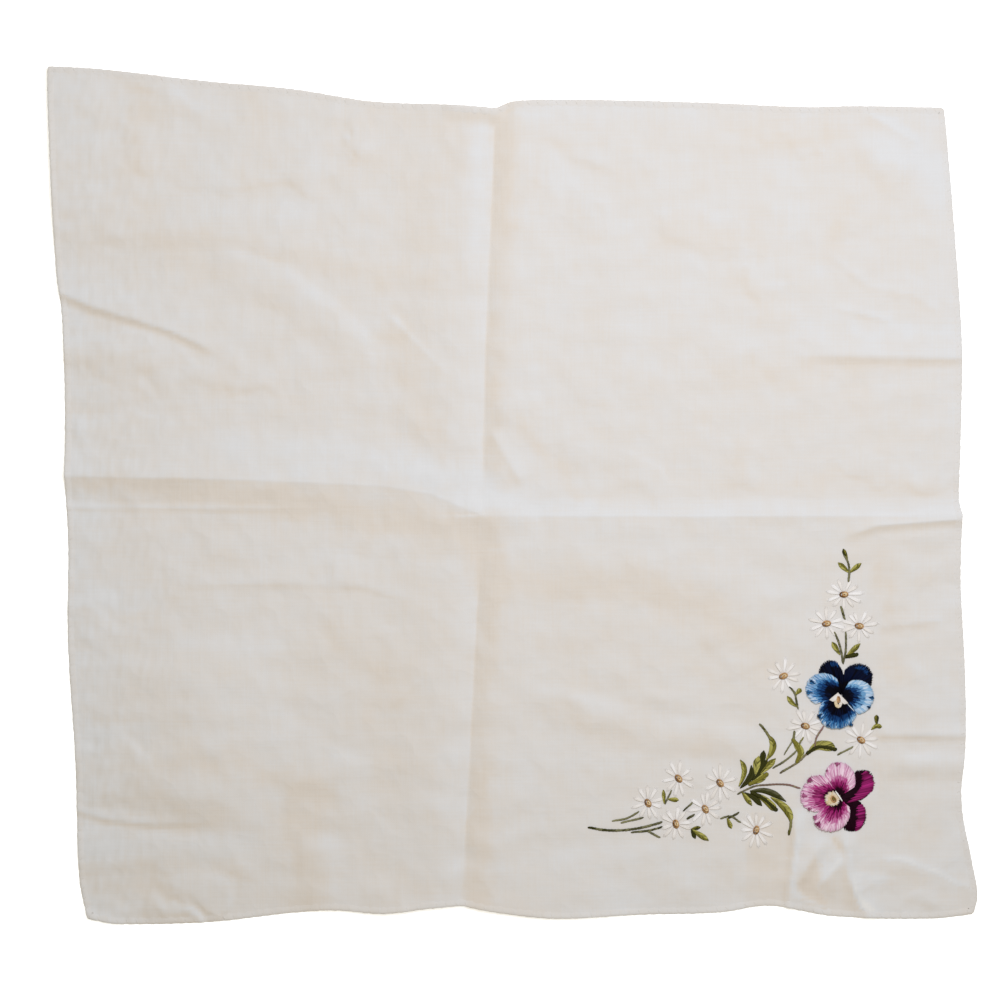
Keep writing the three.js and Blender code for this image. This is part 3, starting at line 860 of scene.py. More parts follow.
def hem_line():
    """Points along the middle of the rolled hem, counter-clockwise, and how many whip stitches it has."""
    edge = 1 - HEM_INSET / HALF_WIDTH
    share = np.linspace(-edge, edge, HEM_SAMPLES)[:-1]
    full = np.full_like(share, edge)
    u = np.concatenate([share, full, -share, -full])
    v = np.concatenate([-full, share, full, -share])
    around = sheet_points(u, v).T
    closed, walked = walked_along([*around, around[0]])
    whips = round(walked[-1] / WHIP_SPACING)
    steps = whips * round(WHIP_SPACING / HEM_STEP)
    at = np.arange(steps) * walked[-1] / steps
    return np.interp(at, walked, closed[:, 0]), np.interp(at, walked, closed[:, 1]), whips


def outward(x, y):
    """Unit vectors to the right of a closed run of points: outward, where it goes counter-clockwise."""
    dx = np.roll(x, -1) - np.roll(x, 1)
    dy = np.roll(y, -1) - np.roll(y, 1)
    length = np.hypot(dx, dy)
    return dy / length, -dx / length


def make_hem(material):
    """The hem's section carried round the cloth's edge, pinched at each whip stitch."""
    x, y, whips = hem_line()
    out_x, out_y = outward(x, y)
    steps = len(x)
    pinch = 1 - WHIP_PINCH * np.cos(2 * math.pi * np.arange(steps) * whips / steps)
    pinch = pinch * (1 + HEM_UNEVENNESS * np.random.RandomState(8).uniform(-1, 1, steps))
    side, up = (np.outer(pinch, part) for part in np.transpose(HEM_SECTION))
    sides = len(HEM_SECTION)
    around_x, around_y = x[:, None] + side * out_x[:, None], y[:, None] + side * out_y[:, None]
    vertices = placed(around_x, around_y, relief(around_x, around_y) + up)
    index = np.arange(steps * sides).reshape(steps, sides)
    ahead, beyond = np.roll(index, -1, axis=0), np.roll(index, -1, axis=1)
    both = np.roll(ahead, -1, axis=1)
    faces = np.stack([index, ahead, both, beyond], axis=-1).reshape(-1, 4)
    hem = new_piece("rolled_hem", vertices.tolist(), faces.tolist(), material)
    # the lawn's warmth and painted shade, carried onto the hem
    store(hem.data, "warmth_and_painted_shade", np.repeat(painted_shade_and_warmth(x, y) * HEM_WARMTH_AND_SHADE + LEAST_HEM_WARMTH_AND_SHADE, sides))
    return hem


WHIP_IN, WHIP_OUT = 0.85, 0.4  # how far a whip stitch reaches in and out from the middle of the hem


def to_left(direction):
    return np.array([-direction[1], direction[0]])


def whip_stitches():
    """One slanted stitch over the roll at each pinch."""
    x, y, whips = hem_line()
    out_x, out_y = outward(x, y)
    pick = np.random.RandomState(5)
    stitches = []
    for k in range(0, len(x), len(x) // whips):
        middle = np.array([x[k], y[k]])
        out = np.array([out_x[k], out_y[k]])
        lean = to_left(out) * pick.uniform(0.3, 0.7)
        start = middle - out * WHIP_IN - lean
        end = middle + out * WHIP_OUT + lean * 0.5
        stitches.append(Stitch(start, end, width=0.16, colour="hem thread", lift=0.05, arch=0.16))
    return stitches


# ---------------------------------------------------------------- the embroidery

THREADS = {
    "hem thread": "#E2DED8",
    "white": "#F0EDEB",
    "ivory": "#E0D8CE",
    "cream": "#DECBA4",
    "tan": "#C59C6C",
    "brown": "#8A6642",
    "dark brown": "#6E4C2A",
    "light olive": "#B4AE5E",
    "olive": "#7C7630",
    "dark olive": "#383817",
    "stem green": "#605E44",
    "stem light": "#8D8A66",
    "mauve brown": "#8E6A66",
    "ink": "#020108",
    "navy": "#040E2C",
    "deep blue": "#153E72",
    "mid blue": "#3C78AE",
    "sky": "#7FAED2",
    "pale blue": "#C8D7E6",
    "plum": "#1E0210",
    "dark magenta": "#6E0F44",
    "magenta": "#B02C7C",
    "rose": "#C0709C",
    "pink": "#CE90B4",
    "pale pink": "#F0D8E4",
}

# A stitch goes from start to end over the cloth. Its lift is how far it lies above the cloth, and its arch is
# how far its middle stands above its ends.
Stitch = namedtuple("Stitch", "start end width colour lift arch")


def dye(colour):
    """Linear RGBA of a thread's name, or of two names and a share between them."""
    if isinstance(colour, str):
        return np.array(linear(THREADS[colour]))
    first, second, share = colour
    return mix(dye(first), dye(second), share)


def polar(heart, heading, reach):
    turn = math.radians(heading)
    return (heart[0] + reach * math.cos(turn), heart[1] + reach * math.sin(turn))


# One row of long-and-short stitch: from outer to inner, as shares of the petal's reach, ragged by those
# shares at its outer and inner ends, in shades between two threads
Row = namedtuple("Row", "outer inner outer_ragged inner_ragged threads")


SKY_SHADE = ("mid blue", "sky", 0.4)


def light_blue(dark_reach, rim=("mid blue", "pale blue"), body=("mid blue", "sky")):
    """Rows of a light petal that is near black out to that share of its reach."""
    return [
        Row(0.985, 0.74, 0.015, 0.06, ("sky", "pale blue")),
        Row(0.95, 0.66, 0.05, 0.05, rim),
        Row(min(dark_reach + 0.30, 0.93), dark_reach, 0.07, 0.05, body),
        Row(min(dark_reach + 0.22, 0.90), dark_reach - 0.08, 0.09, 0.05, ("deep blue", body[0])),
        Row(dark_reach + 0.12, dark_reach - 0.20, 0.09, 0.05, ("navy", "deep blue")),
        Row(dark_reach, 0.05, 0.07, 0.03, ("ink", "navy")),
        Row(dark_reach - 0.12, 0.05, 0.06, 0.03, ("ink", "ink")),
    ]


def light_pink(plum_reach, flame_reach):
    """Rows of a light petal with a plum heart and magenta flames out to those shares of its reach."""
    return [
        Row(0.985, 0.66, 0.015, 0.05, ("pink", "pale pink")),
        Row(0.93, 0.50, 0.06, 0.06, (("rose", "pink", 0.5), "pale pink")),
        Row(flame_reach + 0.04, flame_reach - 0.24, 0.08, 0.06, ("magenta", "pink")),
        Row(flame_reach - 0.05, plum_reach - 0.06, 0.12, 0.05, ("dark magenta", ("magenta", "rose", 0.3))),
        Row((plum_reach + flame_reach) / 2 - 0.02, 0.24, 0.12, 0.04, ("dark magenta", "magenta")),
        Row(plum_reach + 0.06, 0.20, 0.10, 0.03, ("plum", "dark magenta")),
        Row(plum_reach, 0.05, 0.06, 0.03, ("plum", "plum")),
    ]


DARK_BLUE = [
    Row(0.60, 0.04, 0.03, 0.02, ("ink", "ink")),
    Row(0.985, 0.50, 0.02, 0.08, ("ink", "navy")),
    Row(0.97, 0.45, 0.03, 0.08, ("ink", "navy")),
]
# Deep blue strands near the dark petals' rims: a painted highlight
BLUE_GLEAM = [Row(0.96, 0.80, 0.03, 0.07, (("navy", "deep blue", 0.4), "deep blue"))]
DARK_PLUM = [
    Row(0.60, 0.04, 0.03, 0.02, ("plum", "plum")),
    Row(0.985, 0.50, 0.02, 0.08, ("plum", "plum")),
    Row(0.96, 0.45, 0.03, 0.08, ("plum", "plum")),
]
PINK_STREAKS = [Row(0.95, 0.50, 0.04, 0.10, ("rose", "pale pink"))]

# Petals from the undermost up. Each spreads from its first heading to its last, in degrees from +X, and has
# its full reach from the flower's heart at the middle one. Its sides reach the shares of that given.
Petal = namedtuple("Petal", "first middle last reach first_share last_share rows")
BLUE_HEART = (108.6, -66.0)
BLUE_PETALS = [
    Petal(83, 112, 146, 12.4, 0.55, 0.75, DARK_BLUE),
    Petal(96, 105, 110, 12.0, 0.95, 0.97, BLUE_GLEAM),
    Petal(18, 45, 83, 13.0, 0.8, 0.65, DARK_BLUE),
    Petal(38, 48, 66, 12.6, 0.95, 0.85, BLUE_GLEAM),
    Petal(105, 165, 199, 12.3, 0.45, 0.75, light_blue(0.58)),
    Petal(-48, -5, 60, 10.9, 0.8, 0.48, light_blue(0.48, ("sky", "pale blue"), (SKY_SHADE, "sky"))),
    Petal(198, 245, 310, 11.7, 0.55, 0.7, light_blue(0.74)),
]
# The dark tips of the rim: heading, reach and how many stitches
BLUE_TIPS = [
    (156, 11.6, 5), (175, 11.7, 5), (223, 10.9, 6), (246, 11.6, 3), (288, 10.9, 5), (355, 10.9, 4),
    (337, 10.6, 4),
]

PINK_HEART = (107.6, -99.7)
PINK_PETALS = [
    Petal(-8, 37, 56, 13.6, 0.55, 0.77, DARK_PLUM),
    Petal(-80, -58, -10, 12.8, 0.86, 0.55, DARK_PLUM),
]
UPPER_PINK_PETALS = [
    Petal(33, 92, 142, 11.9, 0.54, 0.32, light_pink(0.36, 0.62)),
    Petal(124, 180, 227, 12.8, 0.68, 0.47, light_pink(0.42, 0.82)),
    Petal(124, 150, 151, 12.2, 0.72, 1.0, PINK_STREAKS),
    Petal(217, 237, 318, 12.4, 0.82, 0.4, light_pink(0.40, 0.74)),
]
PINK_EYE_HEART = (105.6, -100.3)
PINK_EYE_ROWS = [
    Row(1.0, 0.30, 0.14, 0.05, (("cream", "tan", 0.25), "ivory")),
    Row(0.72, 0.20, 0.12, 0.05, (("cream", "tan", 0.5), "cream")),
]
PINK_EYE = Petal(0, 180, 360, 2.5, 1, 1, PINK_EYE_ROWS)
PINK_TIPS = [
    (149, 12.0, 6), (176.5, 12.2, 5), (202, 11.1, 3), (220, 10.9, 5), (233, 12.0, 7), (92.5, 11.8, 5),
    (113, 10.4, 2),
]

# A block of satin stitch between two edges, from where the stitches start to where they end
Satin = namedtuple("Satin", "inner outer")
MAGENTA_EDGES = [
    Satin(
        [(115.4, -91.6), (115.6, -94.6), (114.4, -97.0), (112.6, -99.6), (110.6, -101.6)],
        [(117.0, -90.9), (118.9, -92.6), (119.7, -94.9), (119.0, -97.4), (115.6, -100.2)],
    ),
    Satin(
        [(113.5, -102.6), (113.0, -105.6), (113.0, -108.6), (113.2, -110.9)],
        [(115.8, -101.9), (116.9, -103.8), (116.8, -106.6), (115.0, -110.0)],
    ),
]
SATIN_SPACING = 0.27
SATIN_THREADS = (("plum", "dark magenta", 0.6), "magenta")
INNER_RAGGED, OUTER_RAGGED = 0.6, 0.4

PETAL_HEADINGS = 25
PETAL_LIFT = 0.12  # how far each petal lies above the one before
ROW_LIFT = 0.04  # and each row in it
STRAND_SPACING = 0.23
STRAND_WIDTH = 0.34
WIDEST_AT = 0.8  # of the way out along a row, where its strands are counted
HEART_GAP = 0.3  # round the flower's heart, with no stitch
TIP_LIFT = 1.05


def petal_rim(petal):
    """Headings across a petal and its reach at each: a quarter of a sine wave up to its middle and down."""
    headings = np.linspace(petal.first, petal.last, PETAL_HEADINGS)
    before = headings < petal.middle
    side = np.where(before, petal.first, petal.last)
    share = np.where(before, petal.first_share, petal.last_share)
    rising = np.sin((headings - side) / (petal.middle - side) * math.pi / 2)
    return headings, petal.reach * mix(share, 1, rising)


def long_and_short(heart, petal, lift, pick):
    """A petal in rows of stitches that all point to the heart."""
    headings, reaches = petal_rim(petal)
    stitches = []
    for number, row in enumerate(petal.rows):
        widest = mix(row.inner, row.outer, WIDEST_AT)
        steps = np.radians(np.diff(headings)) * (reaches[1:] + reaches[:-1]) / 2 * widest
        arc = np.concatenate([[0], np.cumsum(steps)])
        count = max(int(arc[-1] / STRAND_SPACING), 3)
        for at in (np.arange(count) + 0.5) / count * arc[-1]:
            heading = np.interp(at, arc, headings)
            reach = np.interp(heading, headings, reaches)
            heading += pick.uniform(-0.5, 0.5)
            outer = reach * (row.outer + pick.uniform(-1, 1) * row.outer_ragged)
            inner = reach * (row.inner + pick.uniform(-1, 1) * row.inner_ragged)
            shade = (*row.threads, ease(pick.uniform(0, 1)))
            start, end = polar(heart, heading, outer), polar(heart, heading, max(inner, HEART_GAP))
            stitches.append(Stitch(start, end, STRAND_WIDTH, shade, lift + ROW_LIFT * number, arch=0.14))
    return stitches


def petals(heart, rows, first, pick):
    """The petals of a flower, of which the first lies over that many others."""
    return [
        stitch
        for number, petal in enumerate(rows)
        for stitch in long_and_short(heart, petal, PETAL_LIFT * (first + number), pick)
    ]


def along_line(line, share):
    """Points at shares of the way along a line of points."""
    knots, walked = walked_along(line)
    return np.stack([np.interp(share * walked[-1], walked, knots[:, axis]) for axis in (0, 1)], axis=-1)


def satin(block, lift, pick):
    count = int(walked_along(block.outer)[1][-1] / SATIN_SPACING)
    share = (np.arange(count) + 0.5) / count
    stitches = []
    for start, end in zip(along_line(block.inner, share), along_line(block.outer, share)):
        ahead = (end - start) / np.hypot(*(end - start))
        start = start + ahead * pick.uniform(-1, 1) * INNER_RAGGED
        end = end + ahead * pick.uniform(-1, 0.3) * OUTER_RAGGED
        shade = (*SATIN_THREADS, pick.uniform(0, 1))
        stitches.append(Stitch(start, end, STRAND_WIDTH, shade, lift, arch=0.16))
    return stitches


def tips(heart, rows, threads, pick):
    """The marks of a rim, each a fan of short stitches, longest in its middle."""
    stitches = []
    for heading, reach, count in rows:
        for k in range(count):
            off = 2 * k / (count - 1) - 1
            outer = reach - 0.3 * off**2 + pick.uniform(-0.25, 0.05)
            inner = reach - pick.uniform(1.3, 2.2) * (1 - 0.5 * off**2)
            start = polar(heart, heading + off * count * 0.75, outer)
            end = polar(heart, heading + off * count * 0.6, inner)
            shade = (*threads, pick.uniform(0, 1))
            stitches.append(Stitch(start, end, STRAND_WIDTH, shade, TIP_LIFT, arch=0.15))
    return stitches


# A ring of short stitches round an oval, from one thread at its left to the other at its right, by its middle
# from the flower's own, its turn in radians and how many stitches it has
Ring = namedtuple("Ring", "x y width height turn count threads thickness lift")
BLUE_EYE = (107.5, -67.6)
BLUE_EYE_RINGS = [
    Ring(0, -0.6, 2.3, 3.7, 0, 10, ("cream", "ivory"), 0.75, 1.2),
    Ring(0, -0.7, 1.3, 2.6, 0, 8, ("cream", "ivory"), 0.8, 1.25),
    Ring(0.1, 0.2, 1.0, 2.1, 0.1, 8, ("tan", "brown"), 0.55, 1.45),
    Ring(0.1, 0.2, 0.4, 1.0, 0.1, 4, ("tan", "brown"), 0.5, 1.5),
]
PINK_EYE_HOLE = (105.9, -100.3)
PINK_EYE_RINGS = [
    Ring(0, 0, 1.4, 2.0, 0.5, 8, ("tan", "brown"), 0.5, 1.4),
    Ring(0, 0, 0.5, 0.9, 0.5, 4, ("brown", "olive"), 0.5, 1.45),
]
# Dark brown at each daisy knot's left and tan at its right: painted shade on the side away from the light
DAISY_RINGS = [
    Ring(0, 0, 2.8, 1.7, 0, 9, ("dark brown", "tan"), 0.55, 0.3),
    Ring(0.2, 0, 1.5, 0.9, 0, 6, ("tan", "cream"), 0.6, 0.42),
]
RING_OVERLAP = 0.15


def knot(heart, rings, turned, pick):
    """Rings over one another, as the middle of a flower has, turned by that many radians."""
    stitches = []
    for ring in rings:
        x, y = heart[0] + ring.x, heart[1] + ring.y
        turn = ring.turn + turned
        for k in range(ring.count):
            ends = []
            for step in (k - RING_OVERLAP, k + 1 + RING_OVERLAP):
                angle = 2 * math.pi * step / ring.count
                across, up = ring.width / 2 * math.cos(angle), ring.height / 2 * math.sin(angle)
                ends.append((
                    x + across * math.cos(turn) - up * math.sin(turn),
                    y + across * math.sin(turn) + up * math.cos(turn),
                ))
            share = np.clip(0.5 + (ends[0][0] - x) / ring.width + pick.uniform(-0.4, 0.4), 0, 1)
            stitches.append(Stitch(*ends, ring.thickness, (*ring.threads, share), ring.lift, arch=0.12))
    return stitches


BROW_STITCHES, BROW_STEP = 7, 0.24  # in each of the two white brows over the blue pansy's eye


def brows(eye, pick):
    x, y = eye
    stitches = []
    for k in range(BROW_STITCHES):
        low = BROW_STEP * k
        shade = ("ivory", "white", pick.uniform(0, 1))
        left = (x - 2.9 + 0.18 * k, y - low * 0.35), (x + 0.1, y + 2.4 - low)
        right = (x - 0.3, y + 2.4 - low), (x + 3.2 - 0.2 * k, y - 1.1 - low * 0.2)
        for ends in (left, right):
            stitches.append(Stitch(*ends, width=0.45, colour=shade, lift=1.25, arch=0.25))
    return stitches


def blue_pansy():
    pick = np.random.RandomState(51)
    stitches = petals(BLUE_HEART, BLUE_PETALS, 0, pick)
    stitches += tips(BLUE_HEART, BLUE_TIPS, ("navy", "mid blue"), pick)
    stitches += brows(BLUE_EYE, pick)
    stitches += knot(BLUE_EYE, BLUE_EYE_RINGS, 0, pick)
    x, y = BLUE_EYE
    streak = (x + 2.7, y - 0.9), (x + 5.3, y - 3.7)
    stitches.append(Stitch(*streak, width=0.32, colour="pale blue", lift=1.1, arch=0.1))
    return stitches


def magenta_pansy():
    pick = np.random.RandomState(52)
    stitches = petals(PINK_HEART, PINK_PETALS, 0, pick)
    for block in MAGENTA_EDGES:
        stitches += satin(block, PETAL_LIFT * 2.5, pick)
    stitches += petals(PINK_HEART, UPPER_PINK_PETALS, 3, pick)
    stitches += tips(PINK_HEART, PINK_TIPS, ("dark magenta", "rose"), pick)
    stitches += petals(PINK_EYE_HEART, [PINK_EYE], 9, pick)
    stitches += knot(PINK_EYE_HOLE, PINK_EYE_RINGS, 0, pick)
    stitches.append(Stitch((106.5, -97.5), (108.8, -100.9), width=0.5, colour="white", lift=1.5, arch=0.1))
    return stitches


# A daisy by its middle, its width and height across the petals, how many petals it has, and the headings of
# the first one and of its knot, in degrees
Daisy = namedtuple("Daisy", "x y width height petals turn centre_turn")
DAISIES = [
    Daisy(109.4, -32.8, 12.4, 10.6, 11, 8, 0),
    Daisy(103.7, -42.4, 12.6, 10.6, 10, 20, 10),
    Daisy(114.5, -43.2, 12.0, 10.2, 11, 3, -10),
    Daisy(89.5, -59.7, 11.2, 11.6, 10, 15, 20),
    Daisy(96.7, -76.2, 12.0, 11.6, 11, 25, -15),
    Daisy(115.1, -80.8, 11.6, 11.4, 10, 10, -35),
    Daisy(54.9, -93.5, 10.6, 11.8, 10, 5, -50),
    Daisy(68.6, -95.0, 10.8, 12.2, 10, 16, -50),
    Daisy(44.8, -101.6, 10.6, 11.6, 10, 22, -60),
    Daisy(63.7, -103.6, 11.0, 11.8, 10, 2, -60),
    Daisy(54.0, -108.5, 10.8, 11.4, 10, 12, -75),
    Daisy(80.5, -110.5, 10.8, 11.6, 11, 18, 75),
]


# The strands of a daisy's petal: how far each is off its middle, and its share of the petal's length
DAISY_STRANDS = [(-0.40, 0.90), (0.40, 0.91), (-0.14, 1.0), (0.14, 0.98)]
DAISY_ROOT = 1.1  # from the middle out to where the petals start
DAISY_WAIST = 0.3  # how narrow they are there


def daisy_stitches():
    pick = np.random.RandomState(31)
    stitches = []
    for daisy in DAISIES:
        heart = np.array([daisy.x, daisy.y])
        for k in range(daisy.petals):
            turn = math.radians(daisy.turn + 360 * k / daisy.petals + pick.uniform(-7, 7))
            size = pick.uniform(0.94, 1.14)
            tip = np.array([daisy.width / 2 * math.cos(turn), daisy.height / 2 * math.sin(turn)]) * size
            ahead = tip / math.hypot(*tip)
            aside = to_left(ahead)
            plump = pick.uniform(1.0, 1.4)
            shade = ("ivory", "white", pick.uniform(0.4, 1))
            for off, share in DAISY_STRANDS:
                start = heart + ahead * DAISY_ROOT + aside * off * DAISY_WAIST
                end = heart + tip * share + aside * off * plump
                stitches.append(Stitch(start, end, width=0.42, colour=shade, lift=0.02, arch=0.2))
        stitches += knot(heart, DAISY_RINGS, math.radians(daisy.centre_turn), pick)
    return stitches


# Stems in stem stitch, with the thread at each end
Stem = namedtuple("Stem", "line first second width")
STEMS = [
    Stem([(109.6, -20), (110.7, -22), (111.2, -25.7), (110.9, -28.4)], "stem green", "stem green", 0.7),
    Stem([(108.6, -37), (109.6, -40.8)], "stem green", "dark olive", 0.8),
    Stem([(106.3, -45.2), (107.5, -47.9), (108.6, -51.9), (109.1, -55.4)], "stem green", "stem green", 0.7),
    Stem([(110.1, -45.5), (110.1, -47.9), (110.0, -51.6), (109.3, -54.9)], "stem green", "stem green", 0.7),
    Stem([(91.5, -63.3), (93.2, -65.3), (93.7, -67.5), (94.2, -70.3)], "dark olive", "stem green", 0.7),
    Stem(
        [
            (102.6, -76.6), (100.3, -80.2), (99.6, -83.5), (96.8, -85.7),
            (94.7, -87.8), (92.9, -89), (88.6, -91.5),
        ],
        "mauve brown", "stem green", 0.7,
    ),
    Stem([(93.5, -84.7), (91.7, -86.3), (89.8, -87.8), (86.2, -89.9)], "stem green", "stem green", 0.65),
    Stem([(92.3, -81.4), (89.8, -85.4)], "stem light", "stem green", 0.5),
    Stem([(93.2, -78.2), (92.7, -81.1)], "dark olive", "olive", 0.9),
    Stem([(96.1, -79.9), (94.7, -82)], "olive", "stem green", 0.7),
    Stem([(112.2, -83.2), (107.6, -85.5)], "stem light", "stem green", 0.6),
    Stem(
        [(74.6, -98.5), (77.6, -97), (80.1, -96), (84, -95.6), (87.4, -95.4), (91.7, -95.7), (94.7, -96.7)],
        "stem green", "mauve brown", 0.6,
    ),
    Stem([(52.5, -97.7), (50.5, -101.6)], "stem green", "stem green", 0.6),
    Stem([(59.4, -101.6), (56.6, -104)], "stem green", "dark olive", 0.65),
    Stem([(59.9, -105.6), (57.9, -106.6)], "stem green", "dark olive", 0.75),
    Stem([(69, -106.6), (71.9, -105.9), (75.1, -107.9)], "stem green", "stem green", 0.6),
    Stem([(71.3, -106.6), (74.6, -104.9)], "dark olive", "stem green", 0.7),
    Stem(
        [(25.4, -109.6), (29.7, -110.4), (35.6, -110.6), (42.2, -109.8), (49.2, -108)],
        "dark olive", "stem green", 0.8,
    ),
    Stem([(39.6, -111.2), (44.9, -110.7), (49.2, -109.6)], "stem green", "dark olive", 0.7),
    Stem([(44.9, -110.9), (48.5, -112.9)], "stem green", "stem green", 0.65),
    Stem([(81.9, -75.7), (83.4, -77.6), (84.6, -79.4), (85.2, -80.6)], "dark olive", "olive", 0.85),
    Stem([(92, -107), (91.8, -109.6), (91.2, -111.8)], "olive", "dark olive", 0.9),
    Stem([(33.3, -107.4), (37.6, -106.7), (41.6, -104.6)], "stem light", "dark olive", 0.65),
    Stem([(36.2, -108), (43, -106.5)], "stem light", "dark olive", 0.65),
]

# Leaves in slanted satin stitch each side of a midrib, from base to tip: how far each side reaches where the
# leaf is fullest, how far along its length that is, and the thread of each side and of a worked midrib
Leaf = namedtuple("Leaf", "line left right fullest left_thread right_thread rib_thread", defaults=(None,))
LEAVES = [
    Leaf([(110.6, -21.8), (110, -20), (109.2, -17.9)], 0.55, 0.5, 0.6, "dark olive", "olive"),
    Leaf([(111.2, -25.6), (107.6, -22.4)], 0.65, 0.65, 0.5, "light olive", "olive"),
    Leaf([(111.2, -25.6), (115, -22.6)], 0.65, 0.65, 0.5, "light olive", "olive"),
    Leaf([(108.1, -52.6), (105.6, -48.6)], 0.75, 0.7, 0.5, "light olive", "olive"),
    Leaf([(110.4, -53), (114.7, -49.1)], 0.7, 0.7, 0.5, "light olive", "olive"),
    Leaf([(110.1, -53.3), (113.9, -52.6)], 0.45, 0.5, 0.4, "olive", "dark olive", "dark olive"),
    Leaf([(93.5, -65.8), (95.2, -64)], 0.6, 0.65, 0.5, "light olive", "olive"),
    Leaf([(93.9, -69.8), (92.2, -68.4), (90.8, -66.5)], 0.6, 0.65, 0.5, "light olive", "olive"),
    Leaf(
        [(97.2, -85.3), (100.6, -83.2), (103.5, -83.2), (106.8, -84)],
        1.9, 1.1, 0.55, "light olive", "light olive", "dark olive",
    ),
    Leaf(
        [(93.8, -88.2), (95, -85.2), (93.8, -82.4), (92.6, -80.6)],
        1.0, 1.1, 0.4, "light olive", "light olive", "olive",
    ),
    Leaf([(120.2, -75.6), (120.2, -72.7)], 0.6, 0.6, 0.5, "olive", "dark olive"),
    Leaf([(118.5, -77.4), (120, -76.3), (121.8, -76.4)], 0.6, 0.6, 0.6, "light olive", "olive"),
    Leaf(
        [(74.9, -96), (75.9, -93.9), (76.6, -91.2), (76.1, -88.7), (75.3, -87.5)],
        0.75, 0.7, 0.6, "light olive", "olive",
    ),
    Leaf(
        [(75.3, -96.6), (77.6, -94.3), (78.9, -92), (78.9, -89.3)],
        0.85, 0.95, 0.5, "dark olive", "dark olive",
    ),
    Leaf([(78.2, -95.4), (81.2, -94), (84.2, -92)], 1.1, 1.0, 0.5, "light olive", "light olive", "olive"),
    Leaf([(80.3, -92.4), (80.7, -89), (81.4, -86.2)], 1.1, 1.2, 0.45, "light olive", "light olive"),
    Leaf([(81.9, -92), (84.3, -89.5), (86.8, -87)], 0.9, 1.0, 0.5, "olive", "light olive"),
    Leaf(
        [(79.2, -94.4), (80.8, -92.5), (82.7, -89.9), (84.2, -87)],
        0.85, 0.95, 0.5, "dark olive", "dark olive",
    ),
    Leaf([(82.3, -89.6), (83, -84.4)], 0.85, 0.8, 0.5, "dark olive", "dark olive"),
    Leaf(
        [(83.8, -87.4), (85.4, -85), (86, -82.6), (85.5, -80.6), (84.4, -79.2)],
        1.05, 0.95, 0.45, "light olive", "olive",
    ),
    Leaf([(75.8, -97.8), (77.4, -100), (79, -102.3)], 0.65, 0.7, 0.5, "light olive", "olive"),
    Leaf([(76.8, -98.2), (79.8, -100), (82.3, -102.4)], 0.75, 0.75, 0.6, "dark olive", "dark olive"),
    Leaf(
        [(78.6, -97.6), (83.1, -97.5), (86.7, -98.7), (90.2, -101)],
        0.85, 0.95, 0.5, "stem green", "dark olive",
    ),
    Leaf([(79, -98), (83, -100.2), (87.2, -104)], 1.0, 1.1, 0.7, "light olive", "olive", "dark olive"),
    Leaf(
        [(85.4, -99.7), (88.2, -101.6), (90.6, -104), (91.7, -106.1), (91.9, -108.4)],
        1.15, 1.1, 0.5, "light olive", "olive",
    ),
    Leaf([(50.2, -101.6), (49.9, -97.4)], 0.45, 0.45, 0.5, "light olive", "olive"),
    Leaf([(51.5, -100.3), (54.8, -100.6)], 0.6, 0.6, 0.5, "light olive", "olive"),
    Leaf([(71, -106.6), (72.3, -109.9)], 0.6, 0.6, 0.5, "light olive", "olive"),
    Leaf([(59.1, -110.2), (60.4, -113.2)], 0.5, 0.55, 0.5, "dark olive", "dark olive"),
    Leaf([(59.1, -110.2), (64.7, -113.9)], 0.75, 0.75, 0.55, "light olive", "olive"),
    Leaf([(59.1, -110.2), (62, -109.6)], 0.45, 0.45, 0.5, "olive", "dark olive"),
]


def smooth_line(line, spacing):
    """Points and unit directions about that far apart along a smooth curve through a line's points."""
    if len(line) == 2:
        line = [line[0], np.mean(line, axis=0), line[1]]
    knots, walked = walked_along(line)
    slopes = np.gradient(knots, walked, axis=0)
    at = np.linspace(0, walked[-1], max(round(walked[-1] / spacing), 2) + 1)
    points = np.stack([smooth_between(walked, knots[:, k], slopes[:, k], at) for k in (0, 1)], axis=-1)
    direction = np.gradient(points, axis=0)
    return points, direction / np.hypot(*direction.T)[:, None]


STEM_WIDTH = 0.92  # of what the table gives
STEM_SPACING = 1.1
STEM_OVERLAP = 0.4  # of the spacing, at each end of a stitch
STEM_SLANT = 0.22  # of the width, to each side
LIGHT_STEM_SHARE = 0.45
RIB_WIDTH, RIB_SPACING = 1.3, 0.8


def stem_stitch(line, threads, width, spacing, light_share, pick):
    """Overlapping stitches that slant across the stem, as in rope, with that share of lighter ones."""
    points, direction = smooth_line(line, spacing)
    last = len(points) - 1
    stitches = []
    for k in range(last):
        aside = to_left(direction[k]) * width * STEM_SLANT
        ahead = direction[k] * spacing * STEM_OVERLAP
        shade = (*threads, np.clip(k / last + pick.uniform(-0.2, 0.2), 0, 1))
        if pick.uniform() < light_share:
            shade = (shade, "stem light", 0.55)
        start, end = points[k] - ahead - aside, points[k + 1] + ahead + aside
        stitches.append(Stitch(start, end, width, shade, lift=0.08, arch=0.22))
    return stitches


def stem_stitches():
    pick = np.random.RandomState(41)
    stitches = []
    for stem in STEMS:
        threads, width = (stem.first, stem.second), stem.width * STEM_WIDTH
        stitches += stem_stitch(stem.line, threads, width, STEM_SPACING, LIGHT_STEM_SHARE, pick)
    return stitches


LEAF_SLANT = 2.0  # how far a leaf's stitches run ahead, as a share of how far they run out
LEAF_SPACING = 0.27
LEAF_TIP = 0.14  # how far the leaf reaches each side at its very ends
FULL_BASE, DRAWN_TIP = 0.8, 1.2  # under 1 a leaf swells soon from its end, over 1 it is drawn out
SHADED_STRANDS, SHADE_DEPTH = 0.2, 0.8  # the share of a leaf's strands in the shade of others, and how dark


